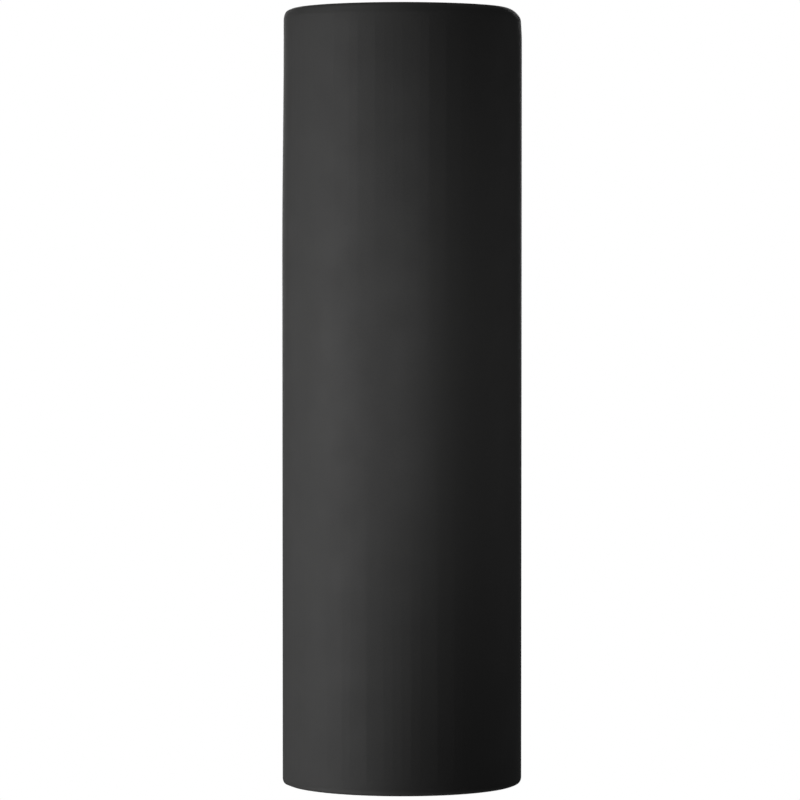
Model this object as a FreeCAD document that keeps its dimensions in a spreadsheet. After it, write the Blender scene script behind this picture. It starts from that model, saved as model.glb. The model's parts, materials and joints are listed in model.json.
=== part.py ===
"""Tube wall light, in millimetres.

A cast ceramic tube with a flat, open back hangs in front of a steel pan. The pan is held to a junction box by a
crossbar, and carries two lampholders, one facing up and one facing down, with their wiring. The tube lifts off:
two steel straps clamped to lugs inside it hang on shouldered studs in the pan, and one knurled screw locks it.

The frame: +Z is up, the wall is the plane Y = 0 and the room is at -Y. The origin is on the wall, in the middle
of the crossbar. A depth is a distance from the wall into the room, so it is the same as -Y.
"""

import FreeCAD
import Part
import math
import os
import re

import Sketcher
from FreeCAD import Placement, Rotation, Vector

SIZES = (
    # The ceramic tube
    ("tube_width", 133.35, "outer diameter of the tube"),
    ("tube_height", 431.8, "height of the tube"),
    ("tube_depth", 95.25, "from the wall to the front of the tube"),
    ("tube_wall", 8.0, "thickness of the ceramic"),
    ("top_round", 6.2, "radius of the outer edge of the top rim"),
    ("foot_round", 4.5, "radius of the outer edge of the bottom rim"),
    ("inner_round", 1.5, "radius of the inner edge of both rims"),
    ("rim_flat", 0.3, "least flat left between a rim's outer and inner rounds"),
    ("gasket_thick", 1.5, "thickness of the foam strips, which sets the tube off the wall"),
    ("gasket_width", 6.0, "width of a foam strip"),
    ("gasket_end_gap", 6.0, "from the end of the tube to the end of a strip"),
    # The lugs inside the tube, and the straps they carry
    ("strap_height", 30.0, "height of a strap"),
    ("strap_thick", 1.5, "thickness of a strap"),
    ("strap_round", 4.0, "corner radius of a strap"),
    ("strap_gap", 0.3, "running gap between the pan and a strap"),
    ("strap_side_gap", 3.4, "from the end of a strap to the inside of the tube"),
    ("strap_end_gap", 2.0, "from the edge of a strap to the end of the pan"),
    ("lug_screw_inset", 6.0, "from the end of a strap to its screw"),
    ("lug_reach", 7.0, "from a lug's screw to its free end"),
    ("lug_height", 24.0, "height of a lug"),
    ("lug_thick", 9.0, "thickness of a lug, from back to front"),
    ("lug_round", 5.0, "corner radius of a lug's free end"),
    ("lug_play", 1.2, "how much wider the hole in a lug is than its screw"),
    ("cushion_thick", 1.2, "thickness of a rubber cushion"),
    ("cushion_outer", 12.0, "diameter of a rubber cushion"),
    ("washer_thick", 1.0, "thickness of a steel washer"),
    ("washer_outer", 9.0, "diameter of a steel washer"),
    ("bolt_thread", 4.0, "thread of the strap screws, the crossbar studs and the earth screw"),
    ("bolt_play", 0.5, "how much wider a clearance hole for that thread is"),
    ("bolt_head", 8.0, "head diameter for that thread"),
    ("bolt_head_height", 2.4, "head height for that thread"),
    ("bolt_tail", 1.6, "how far a strap screw stands out of its nut"),
    ("nut_across", 7.0, "nut size across its flats"),
    ("nut_height", 3.2, "height of a plain nut"),
    ("thread_fit", 0.1, "diametral clearance of a thread or rivet in its hole"),
    ("edge_break", 0.4, "small bevel on the edges of turned pieces"),
    # Keyholes, hanging studs and the lock screw
    ("keyhole_inset", 10.0, "from the side of the pan to the studs and their keyholes"),
    ("keyhole_drop", 10.0, "how far the tube lifts to come off its studs"),
    ("keyhole_rise", 4.5, "height of a stud above the middle of its strap"),
    ("keyhole_side_play", 0.6, "how much wider a keyhole's slot is than what hangs in it"),
    ("keyhole_head_play", 1.0, "how much wider a keyhole's entry is than what passes it"),
    ("stud_neck", 5.0, "diameter of a hanging stud's neck"),
    ("stud_play", 0.3, "gap between a strap and a stud's head"),
    ("stud_head", 9.5, "diameter of a hanging stud's head"),
    ("stud_head_height", 1.8, "height of that head"),
    ("stud_tail", 4.0, "diameter of the riveted tail"),
    ("stud_clench", 6.4, "diameter of the riveted end behind the pan"),
    ("stud_clench_height", 0.9, "height of that end"),
    ("lock_thread", 5.0, "thread of the lock screw"),
    ("lock_head", 12.0, "diameter of the lock screw's knurled head"),
    ("lock_head_height", 6.0, "height of that head"),
    ("lock_collar", 8.0, "diameter of the collar under the knurling"),
    ("lock_collar_height", 1.4, "height of that collar"),
    ("lock_gap", 0.2, "gap between the strap and the lock screw's collar"),
    ("lock_length", 9.0, "length of the lock screw under its collar"),
    ("knurl_count", 24, "number of grooves round the knurled head"),
    ("knurl_width", 0.9, "width of a groove"),
    ("bush_wall", 1.0, "thickness of the lock bush round its thread"),
    ("bush_flange_width", 1.3, "width of the lock bush's flange"),
    ("bush_flange_height", 1.2, "height of that flange"),
    ("bush_length", 5.5, "length of the lock bush"),
    # The pan and the crossbar
    ("pan_side_gap", 14.97, "from the end of a strap to the side of the pan"),
    ("pan_end_gap", 15.9, "from the end of the tube to the end of the pan"),
    ("pan_depth", 12.0, "depth of the pan, from the wall to its face"),
    ("sheet", 1.5, "thickness of the pan's and brackets' steel"),
    ("bend_inner", 1.0, "inner radius of a bend"),
    ("bar_end", 3.55, "from a crossbar slot to the end of the crossbar"),
    ("bar_width", 19.0, "width of the crossbar"),
    ("bar_thick", 2.0, "thickness of the crossbar"),
    ("bar_round", 5.0, "corner radius of the crossbar"),
    ("box_screw_spacing", 88.9, "spacing of the junction box's screws"),
    ("box_slot_width", 4.8, "width of the slots for them"),
    ("box_slot_length", 12.0, "length of those slots"),
    ("bar_centre_hole", 10.4, "diameter of the hole in the middle of the crossbar"),
    ("bar_stud_gap", 8.5, "from the end of the terminal block to the crossbar's studs"),
    ("bar_stud_length", 17.5, "length of a crossbar stud"),
    ("lock_washer_thick", 0.9, "thickness of a toothed washer"),
    ("lock_washer_outer", 8.0, "diameter of a toothed washer"),
    ("cap_nut_hex", 4.0, "height of a cap nut's hexagon"),
    ("cap_nut_shoulder", 0.2, "width of the step between its hexagon and its dome"),
    ("cap_nut_bore", 5.2, "depth of a cap nut's thread"),
    ("cable_inset", 16.0, "from the side of the pan to the cable entry"),
    ("cable_bore", 10.0, "bore of the cable bushing"),
    ("bushing_wall", 2.0, "thickness of the bushing where it goes through the pan"),
    ("bushing_flange_width", 1.5, "width of the bushing's flange"),
    ("bushing_flange_height", 1.5, "height of that flange"),
    ("bushing_lip_width", 0.6, "width of the bushing's lip behind the pan"),
    ("bushing_lip_height", 1.6, "height of that lip"),
    ("bushing_fit", 0.1, "clearance of the bushing in its hole"),
    # Brackets and lampholders
    ("shelf_side", 0.5, "from a lampholder to the side of its shelf"),
    ("shelf_front", 2.9, "from a lampholder to the front of its shelf"),
    ("shelf_round", 10.0, "radius of a shelf's front corners"),
    ("bracket_gap", 11.0, "from a crossbar stud to the leg of a bracket"),
    ("bracket_leg", 22.0, "height of a bracket's leg"),
    ("rivet_x", 12.0, "from the middle of a leg to its rivets"),
    ("rivet_shank", 3.9, "diameter of a rivet"),
    ("rivet_head", 7.0, "diameter of a rivet's head"),
    ("rivet_head_height", 1.3, "height of a rivet's head"),
    ("rivet_tail", 5.5, "diameter of a rivet's closed end"),
    ("rivet_tail_height", 1.3, "height of a rivet's closed end"),
    ("holder_step", 2.0, "how much wider a lampholder's base is all round than its barrel"),
    ("holder_base_height", 14.0, "height of that base"),
    ("holder_wall", 3.3, "thickness of a lampholder's barrel"),
    ("holder_web", 10.0, "thickness of a lampholder's floor"),
    ("holder_rim", 1.0, "from the screw shell to the rim of the lampholder"),
    ("holder_round", 1.5, "radius of a lampholder's edges"),
    ("holder_screw_x", 12.0, "from the axis to a lampholder's screws"),
    ("holder_screw", 3.5, "diameter of those screws"),
    ("holder_floor", 2.0, "floor left in a lampholder above those screws"),
    ("holder_screw_head", 6.4, "head diameter of those screws"),
    ("holder_screw_head_height", 2.2, "head height of those screws"),
    ("shell_wall", 0.5, "thickness of a screw shell"),
    ("shell_fit", 0.2, "gap between a screw shell and its lampholder"),
    ("shell_opening", 17.0, "diameter of the opening in a shell's floor"),
    ("contact_gap", 2.5, "from the edge of that opening to the centre contact"),
    ("contact_base_height", 0.6, "height of the centre contact's base"),
    ("contact_button", 6.0, "diameter of its button"),
    ("contact_top", 4.0, "diameter of the button's top"),
    ("contact_height", 3.6, "height of a centre contact"),
    # Lamps
    ("lamp_gap", 0.2, "gap between a lamp and its centre contact"),
    ("lamp_length", 108.0, "length of a lamp"),
    ("lamp_globe", 60.0, "diameter of a lamp"),
    ("lamp_rim", 16.0, "from the middle of a lamp's globe down to the rim of its housing"),
    ("tip_outer", 9.2, "diameter of a lamp's tip"),
    ("tip_height", 1.4, "height of a lamp's tip"),
    ("insulator_lip", 0.5, "how far the insulator stands out round the tip"),
    ("insulator_height", 4.0, "height of the insulator"),
    ("cap_skin", 0.4, "thickness of the lamp cap's metal at the insulator"),
    ("cap_root", 24.7, "root diameter of the lamp cap's thread"),
    ("cap_crest", 26.2, "crest diameter of that thread"),
    ("cap_fit", 0.4, "gap between the lamp cap and the screw shell"),
    ("cap_inner", 21.6, "inner diameter of the lamp cap"),
    ("cap_pitch", 3.63, "pitch of the thread"),
    ("cap_turns", 4, "number of turns drawn"),
    ("cap_collar", 5.2, "height of the plain collar above the thread"),
    ("cap_stand", 0.9, "how far that collar stands out of the lampholder"),
    ("spigot_fit", 0.1, "gap between the housing's spigot and the cap"),
    ("spigot_rise", 1.0, "from the foot of the cap to the foot of the spigot"),
    ("housing_foot", 28.4, "diameter of a lamp's housing where it meets the cap"),
    ("housing_foot_height", 2.0, "height of its straight foot"),
    ("housing_flare", 60.0, "radius of the housing's flared side"),
    ("housing_wall", 1.8, "thickness of a housing"),
    ("housing_ledge", 2.6, "depth and thickness of the ledge that holds the board"),
    ("housing_ledge_width", 3.6, "width of that ledge"),
    ("board_thick", 1.6, "thickness of the board that carries the emitters"),
    ("board_fit", 0.2, "gap round the board"),
    ("globe_wall", 1.2, "thickness of a lamp's globe"),
    # Terminal block, leads and earth
    ("block_left", 13.7, "from the middle of the pan to the left face of the block"),
    ("block_width", 17.2, "width of the block"),
    ("block_depth", 16.0, "how far the block stands off the pan"),
    ("pole_pitch", 11.0, "spacing of the block's poles"),
    ("entry_height", 7.0, "from the pan to the axis of the poles"),
    ("tube_skin", 0.7, "thickness of a pole's brass tube"),
    ("tube_inset", 2.0, "from the face of the block to the end of a tube"),
    ("clamp_x", 4.5, "from the middle of the block to its clamping screws"),
    ("clamp_thread", 3.0, "diameter of a clamping screw"),
    ("clamp_length", 4.6, "length of a clamping screw"),
    ("clamp_slot_width", 0.7, "width of the slot in a clamping screw"),
    ("clamp_slot_depth", 0.9, "depth of that slot"),
    ("clamp_well_play", 1.2, "how much wider the well over a clamping screw is"),
    ("block_screw", 2.9, "diameter of the screws that hold the block"),
    ("block_screw_head", 5.5, "diameter of their heads"),
    ("block_screw_head_height", 1.9, "height of their heads"),
    ("block_screw_play", 0.3, "how much wider the block's holes for them are"),
    ("block_screw_tail", 1.5, "how far they come out behind the pan"),
    ("block_recess", 5.0, "depth of the recesses for their heads"),
    ("lead_outer", 2.1, "diameter of an insulated lead"),
    ("lead_gap", 0.3, "gap between a lead and what is beside it"),
    ("lead_grip", 2.0, "how far a lead goes into a brass tube"),
    ("lead_edge", 3.0, "from the side of the pan to the outer line of leads"),
    ("lead_pitch", 4.0, "from there to the inner line of leads"),
    ("lead_turn", 12.0, "from a shelf to where the outer lead turns forward"),
    ("lead_step", 3.0, "from there to where the inner lead turns forward"),
    ("lead_hole_x", 4.0, "from the middle to a lead's hole in the shelf"),
    ("lead_hole_back", 12.6, "from the lamp's axis back to that hole"),
    ("lead_hole_play", 0.5, "how much wider a lead's hole is"),
    ("earth_inset", 6.5, "from the inner line of leads to the earth screw"),
    ("earth_rise", 15.0, "from the end of the terminal block to the earth screw"),
    ("ring_outer", 8.0, "diameter of the earth ring"),
    ("ring_thick", 0.8, "thickness of the earth ring"),
    ("ring_neck", 2.4, "width of the neck between the ring and its barrel"),
    ("crimp_wall", 0.7, "thickness of the ring's crimped barrel"),
    ("crimp_length", 5.0, "length of that barrel"),
    ("crimp_entry", 3.0, "how far the lead goes into it"),
    ("earth_turn", 3.0, "from the barrel to the bend of the lead below it"),
    ("earth_screw_length", 6.0, "length of the earth screw"),
)

# Places and sizes that follow from the ones above, as expressions in the same names.
TUBE_RADIUS = "(tube_width / 2)"
INNER_RADIUS = "(tube_width / 2 - tube_wall)"
TUBE_AXIS = "(tube_depth - tube_width / 2)"
OUTER_BACK = f"sqrt({TUBE_RADIUS} ^ 2 - ({TUBE_AXIS} - gasket_thick) ^ 2)"
INNER_BACK = f"sqrt({INNER_RADIUS} ^ 2 - ({TUBE_AXIS} - gasket_thick) ^ 2)"
TOP_ROUND = "min(top_round; tube_wall - inner_round - rim_flat)"
FOOT_ROUND = "min(foot_round; tube_wall - inner_round - rim_flat)"
PAN_HALF = "(tube_height / 2 - pan_end_gap)"
BEND_OUTER = "(bend_inner + sheet)"
STRAP_BACK = "(pan_depth + strap_gap)"
STRAP_FRONT = "(pan_depth + strap_gap + strap_thick)"
STRAP_HALF = f"(sqrt({INNER_RADIUS} ^ 2 - ({TUBE_AXIS} - {STRAP_BACK}) ^ 2) - strap_side_gap)"
STRAP_Z = f"({PAN_HALF} - strap_end_gap - strap_height / 2)"
PAN_SIDE = f"({STRAP_HALF} - pan_side_gap)"
PAN_WEB = f"({PAN_SIDE} - {BEND_OUTER})"
LUG_SCREW_X = f"({STRAP_HALF} - lug_screw_inset)"
LUG_BACK = f"({STRAP_FRONT} + cushion_thick)"
LUG_FRONT = f"({LUG_BACK} + lug_thick)"
LUG_ROOT = f"sqrt(({TUBE_RADIUS} - tube_wall / 2) ^ 2 - ({TUBE_AXIS} - {LUG_BACK}) ^ 2)"
BOLT_HOLE = "(bolt_thread + bolt_play)"
THREAD_HOLE = "(bolt_thread + thread_fit)"
KEYHOLE_X = f"({PAN_SIDE} - keyhole_inset)"
KEYHOLE_SLOT = "(max(stud_neck; lock_thread) + keyhole_side_play)"
KEYHOLE_ENTRY = "(max(stud_head; lock_head) + keyhole_head_play)"
UPPER_STUD = f"({STRAP_Z} + keyhole_rise)"
LOWER_STUD = f"(keyhole_rise - {STRAP_Z})"
BUSH_SPIGOT = "(lock_thread + 2 * bush_wall)"
CABLE_X = f"({PAN_SIDE} - cable_inset)"
BUSHING_HOLE = "(cable_bore + 2 * bushing_wall)"
BLOCK_HALF = "(1.5 * pole_pitch)"
BLOCK_X = "(block_width / 2 - block_left)"
STUD_Z = f"({BLOCK_HALF} + bar_stud_gap)"
LAMP_DEPTH = "((pan_depth + tube_depth - tube_wall) / 2)"
SHELF = f"({STUD_Z} + bracket_gap + bracket_leg)"
RIVET_Z = f"({SHELF} - bracket_leg / 2)"
SHELL_RADIUS = "(cap_crest / 2 + cap_fit + shell_wall)"
BORE_RADIUS = f"({SHELL_RADIUS} + shell_fit)"
BARREL_RADIUS = f"({BORE_RADIUS} + holder_wall)"
BASE_RADIUS = f"({BARREL_RADIUS} + holder_step)"
SHELF_FRONT = f"({LAMP_DEPTH} + {BASE_RADIUS} + shelf_front)"
HOLDER_FOOT = f"({SHELF} + sheet)"
SHELL_FOOT = f"({HOLDER_FOOT} + holder_web)"
LAMP_TIP = f"({SHELL_FOOT} + contact_height + lamp_gap)"
INSULATOR_FOOT = f"({LAMP_TIP} + tip_height)"
CAP_FOOT = f"({INSULATOR_FOOT} + insulator_height)"
COLLAR_FOOT = f"({CAP_FOOT} + cap_turns * cap_pitch)"
CAP_TOP = f"({COLLAR_FOOT} + cap_collar)"
HOLDER_TOP = f"({CAP_TOP} - cap_stand)"
LAMP_TOP = f"({LAMP_TIP} + lamp_length)"
HOUSING_RIM = f"({LAMP_TOP} - lamp_globe / 2 - lamp_rim)"
RIM_RADIUS = "sqrt((lamp_globe / 2) ^ 2 - lamp_rim ^ 2)"
RIM_INSIDE = "sqrt((lamp_globe / 2 - globe_wall) ^ 2 - lamp_rim ^ 2)"
ENTRY_DEPTH = "(pan_depth + entry_height)"
TUBE_BORE = "(2 * lead_outer + 3 * lead_gap)"
TUBE_OUTER = f"({TUBE_BORE} + 2 * tube_skin)"
LEAD_OUTER_X = f"({PAN_SIDE} - lead_edge)"
LEAD_INNER_X = f"({LEAD_OUTER_X} - lead_pitch)"
LEAD_HOLE_DEPTH = f"({LAMP_DEPTH} - lead_hole_back)"
LEAD_HOLE = "(lead_outer + lead_hole_play)"
EARTH_X = f"({LEAD_INNER_X} - earth_inset)"
EARTH_Z = f"({BLOCK_HALF} + earth_rise)"
CRIMP_OUTER = "(lead_outer + 2 * crimp_wall)"

# A machine screw's cross recess, as shares of its head.
RECESS_REACH = 0.32
RECESS_WIDTH = 0.07
RECESS_DEPTH = 0.6

# An arc of a lead takes this share of the shorter run beside it.
ARC_SHARE = 0.45

# Directions that a piece drawn upright can be turned to.
UPRIGHT = Rotation()
UPSIDE_DOWN = Rotation(Vector(0, 1, 0), 180)
TO_THE_ROOM = Rotation(Vector(1, 0, 0), 90)
TO_THE_WALL = Rotation(Vector(1, 0, 0), -90)
TO_THE_RIGHT = Rotation(Vector(0, 1, 0), 90)

doc = FreeCAD.newDocument("TubeWallLight")
sheet = doc.addObject("Spreadsheet::Sheet", "Sizes")
for row, (alias, value, meaning) in enumerate(SIZES, 1):
    sheet.set(f"A{row}", alias)
    sheet.set(f"B{row}", str(value))
    sheet.set(f"C{row}", meaning)
    sheet.setAlias(f"B{row}", alias)
doc.recompute()

ALIASES = re.compile(r"\b(" + "|".join(alias for alias, _, _ in SIZES) + r")\b")
nodes = []


# ---------------------------------------------------------------------------------------------------------------
# Tools: sizes, sketches and features
# ---------------------------------------------------------------------------------------------------------------


def size(expression):
    """The value of an expression in the sheet's names."""
    return float(sheet.evalExpression(expression))


def bind(target, name, expression):
    """Ties a property or constraint to an expression in the sheet's names."""
    target.setExpression(name, ALIASES.sub(r"Sizes.\1", expression))


def node(part, label):
    """Gives a sub-part the name of its file."""
    part.Label = label
    nodes.append(part)
    return part


def stand(part, x="0", depth="0", z="0", turn=UPRIGHT):
    """Places a piece by its distances from the origin."""
    part.Placement = Placement(Vector(size(x), -size(depth), size(z)), turn)
    bind(part, "Placement.Base.x", x)
    bind(part, "Placement.Base.y", f"-({depth})")
    bind(part, "Placement.Base.z", z)
    return part


def new_body(name):
    return doc.addObject("PartDesign::Body", name)


def sketch_on(body, plane_role, offset="0"):
    """A sketch on one of the body's own planes, moved along that plane's normal."""
    sketch = body.newObject("Sketcher::SketchObject", body.Name + "Sketch")
    plane = next(f for f in body.Origin.OriginFeatures if f.Role == plane_role)
    sketch.AttachmentSupport = [(plane, "")]
    sketch.MapMode = "FlatFace"
    sketch.AttachmentOffset = Placement(Vector(0, 0, size(offset)), Rotation())
    bind(sketch, "AttachmentOffset.Base.z", offset)
    return sketch


def plan(body, height="0"):
    """A sketch seen from above, whose x and y are the frame's, at a height."""
    return sketch_on(body, "XY_Plane", height)


def front(body, depth="0"):
    """A sketch seen from the room, whose x and y are the frame's x and z, at a depth from the wall."""
    return sketch_on(body, "XZ_Plane", depth)


def side(body, x="0"):
    """A sketch seen from the right, whose x and y are the frame's y and z."""
    return sketch_on(body, "YZ_Plane", x)


def constrain(sketch, expression, kind, *where):
    """A constraint whose value is tied to the sheet."""
    number = sketch.addConstraint(Sketcher.Constraint(kind, *where, size(expression)))
    bind(sketch, f"Constraints[{number}]", expression)


def fix_point(sketch, edge, end, x, y):
    """Holds a point of the sketch at its distances from the sketch's origin."""
    if x == "0":
        sketch.addConstraint(Sketcher.Constraint("PointOnObject", edge, end, -2))
    else:
        constrain(sketch, x, "DistanceX", -1, 1, edge, end)
    if y == "0":
        sketch.addConstraint(Sketcher.Constraint("PointOnObject", edge, end, -1))
    else:
        constrain(sketch, y, "DistanceY", -1, 1, edge, end)


def arc_between(start, end, radius, bulge):
    """The arc from start to end that bulges to the left (1) or right (-1) of the way it goes, always drawn
    anticlockwise, and whether that swaps its ends."""
    chord = end - start
    left = Vector(-chord.y, chord.x, 0).normalize()
    height = math.sqrt(radius**2 - (chord.Length / 2) ** 2)
    centre = (start + end) * 0.5 - left * (bulge * height)
    first, last = (end, start) if bulge > 0 else (start, end)
    angles = [math.atan2(p.y - centre.y, p.x - centre.x) for p in (first, last)]
    return Part.ArcOfCircle(Part.Circle(centre, Vector(0, 0, 1), radius), *angles), bulge > 0


def outline(sketch, corners):
    """Draws a closed outline. A corner is (x, y), or (x, y, radius, bulge) where an arc leads to it."""
    points = [Vector(size(corner[0]), size(corner[1]), 0) for corner in corners]
    ends = []
    for n in range(len(corners)):
        following = (n + 1) % len(corners)
        if len(corners[following]) == 2:
            edge = sketch.addGeometry(Part.LineSegment(points[n], points[following]))
            ends.append((edge, 1, 2))
        else:
            radius, bulge = corners[following][2:]
            arc, swapped = arc_between(points[n], points[following], size(radius), bulge)
            edge = sketch.addGeometry(arc)
            ends.append((edge, 2, 1) if swapped else (edge, 1, 2))
            constrain(sketch, radius, "Radius", edge)
    for n, (edge, begin, _) in enumerate(ends):
        previous, _, finish = ends[n - 1]
        sketch.addConstraint(Sketcher.Constraint("Coincident", previous, finish, edge, begin))
        fix_point(sketch, edge, begin, *corners[n][:2])


def rectangle(sketch, left, right, low, high):
    outline(sketch, [(left, low), (right, low), (right, high), (left, high)])


def circle(sketch, x, y, diameter):
    edge = sketch.addGeometry(Part.Circle(Vector(size(x), size(y), 0), Vector(0, 0, 1), size(diameter) / 2))
    constrain(sketch, diameter, "Diameter", edge)
    fix_point(sketch, edge, 3, x, y)


def upright_slot(sketch, x, low, high, width):
    """A slot with round ends, whose end centres are at low and high."""
    radius = size(width) / 2
    ends = []
    for y, start in ((high, 0), (low, math.pi)):
        round_end = Part.Circle(Vector(size(x), size(y), 0), Vector(0, 0, 1), radius)
        edge = sketch.addGeometry(Part.ArcOfCircle(round_end, start, start + math.pi))
        constrain(sketch, f"{width} / 2", "Radius", edge)
        fix_point(sketch, edge, 3, x, y)
        for end in (1, 2):
            sketch.addConstraint(Sketcher.Constraint("Horizontal", edge, 3, edge, end))
        ends.append(edge)
    top, bottom = ends
    for sign, first, second in ((-1, (top, 2), (bottom, 1)), (1, (bottom, 2), (top, 1))):
        across = size(x) + sign * radius
        start, finish = (high, low) if sign < 0 else (low, high)
        line = Part.LineSegment(Vector(across, size(start), 0), Vector(across, size(finish), 0))
        edge = sketch.addGeometry(line)
        sketch.addConstraint(Sketcher.Constraint("Coincident", *first, edge, 1))
        sketch.addConstraint(Sketcher.Constraint("Coincident", edge, 2, *second))


def hexagon(sketch, across):
    """A hexagon round the sketch's origin, given across its flats."""
    corner = f"{across} / sqrt(3)"
    outline(sketch, [(f"{corner} * cos({60 * n})", f"{corner} * sin({60 * n})") for n in range(6)])


def settle(body, before, grows):
    """Recomputes a feature and makes sure that it did what it is for."""
    doc.recompute()
    if body.Shape.isNull() or (body.Shape.Volume > before) != grows:
        raise RuntimeError(f"{body.Name}: the feature {body.Tip.Name} changed nothing")


def pad(body, sketch, length, symmetric=False):
    """Builds a sketch out along its normal, or both ways."""
    before = body.Shape.Volume if body.Tip else 0
    feature = body.newObject("PartDesign::Pad", body.Name + "Pad")
    feature.Profile = sketch
    feature.SideType = "Symmetric" if symmetric else "One side"
    bind(feature, "Length", length)
    settle(body, before, True)
    return feature


def pocket(body, sketch, depth=None, symmetric=False):
    """Cuts a sketch out against its normal, through everything if no depth is given."""
    before = body.Shape.Volume
    feature = body.newObject("PartDesign::Pocket", body.Name + "Pocket")
    feature.Profile = sketch
    feature.SideType = "Symmetric" if symmetric else "One side"
    if depth is None:
        feature.Type = "ThroughAll"
    else:
        bind(feature, "Length", depth)
    settle(body, before, False)
    return feature


def revolve(body, sketch):
    """Turns a sketch about its upright axis."""
    before = body.Shape.Volume if body.Tip else 0
    feature = body.newObject("PartDesign::Revolution", body.Name + "Turned")
    feature.Profile = sketch
    feature.ReferenceAxis = (sketch, ["V_Axis"])
    feature.Angle = 360
    settle(body, before, True)
    return feature


def fillet(body, radius, wanted):
    """Rounds the edges that wanted() picks."""
    base = body.Tip
    names = [f"Edge{n}" for n, edge in enumerate(base.Shape.Edges, 1) if wanted(edge)]
    feature = body.newObject("PartDesign::Fillet", body.Name + "Fillet")
    feature.Base = (base, names)
    bind(feature, "Radius", radius)
    doc.recompute()
    return feature


def near(a, b):
    return abs(a - b) < 1e-4


def runs_along(edge, axis):
    """Whether a straight edge runs along an axis."""
    return isinstance(edge.Curve, Part.Line) and near(abs(edge.Curve.Direction.dot(axis)), 1)


def runs_front_to_back(edge):
    return runs_along(edge, Vector(0, 1, 0))


def is_arc_of(edge, radius):
    return isinstance(edge.Curve, Part.Circle) and near(edge.Curve.Radius, radius)


def turned(name, corners, depth="0"):
    """A piece turned about an upright axis at a depth. A corner is (radius, height) and may end an arc."""
    body = new_body(name)
    sketch = front(body, depth)
    outline(sketch, corners)
    revolve(body, sketch)
    return body


def group(label, master, places):
    """One node of separate copies of a piece. A place is (x, depth, z, turn)."""
    copies = []
    for place in places:
        copy = doc.addObject("App::Link", label + "_copy")
        copy.LinkedObject = master
        copy.LinkTransform = False
        copies.append(stand(copy, *place))
    compound = doc.addObject("Part::Compound", label)
    compound.Links = copies
    return node(compound, label)


# ---------------------------------------------------------------------------------------------------------------
# Common fasteners, each drawn upright with its seat at height 0
# ---------------------------------------------------------------------------------------------------------------


def machine_screw(name, thread, length, head, head_height):
    """A pan-head screw with a cross recess: the head stands above 0 and the shank goes down."""
    side_height = f"{head_height} / 2"
    dome = f"(({head} / 2) ^ 2 + ({side_height}) ^ 2) / (2 * {side_height})"
    body = turned(
        name,
        [
            ("0", f"-({length})"),
            (f"({thread}) / 2 - edge_break", f"-({length})"),
            (f"({thread}) / 2", f"edge_break - ({length})"),
            (f"({thread}) / 2", "0"),
            (f"{head} / 2", "0"),
            (f"{head} / 2", side_height),
            ("0", head_height, dome, -1),
        ],
    )
    for along, across in ((RECESS_REACH, RECESS_WIDTH), (RECESS_WIDTH, RECESS_REACH)):
        cross = plan(body, head_height)
        x, y = f"{head} * {along}", f"{head} * {across}"
        rectangle(cross, f"-{x}", x, f"-{y}", y)
        pocket(body, cross, f"{head_height} * {RECESS_DEPTH}")
    return body


def ring(name, outer, inner, height):
    """A washer or tube that stands on 0."""
    body = new_body(name)
    sketch = plan(body)
    circle(sketch, "0", "0", outer)
    circle(sketch, "0", "0", inner)
    pad(body, sketch, height)
    return body


def plain_nut(name):
    """A hexagon nut that stands on 0."""
    body = new_body(name)
    sketch = plan(body)
    hexagon(sketch, "nut_across")
    circle(sketch, "0", "0", THREAD_HOLE)
    pad(body, sketch, "nut_height")
    return body


def cap_nut(name):
    """A domed nut that stands on 0, threaded from below."""
    body = new_body(name)
    sketch = plan(body)
    hexagon(sketch, "nut_across")
    pad(body, sketch, "cap_nut_hex")
    dome_radius = "(nut_across / 2 - cap_nut_shoulder)"
    dome = front(body)
    outline(
        dome,
        [
            ("0", "cap_nut_hex / 2"),
            (dome_radius, "cap_nut_hex / 2"),
            (dome_radius, "cap_nut_hex"),
            ("0", f"cap_nut_hex + {dome_radius}", dome_radius, -1),
        ],
    )
    revolve(body, dome)
    bore = plan(body, "cap_nut_bore")
    circle(bore, "0", "0", THREAD_HOLE)
    pocket(body, bore)
    return body


# ---------------------------------------------------------------------------------------------------------------
# The ceramic tube and what lifts off with it
# ---------------------------------------------------------------------------------------------------------------


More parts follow.
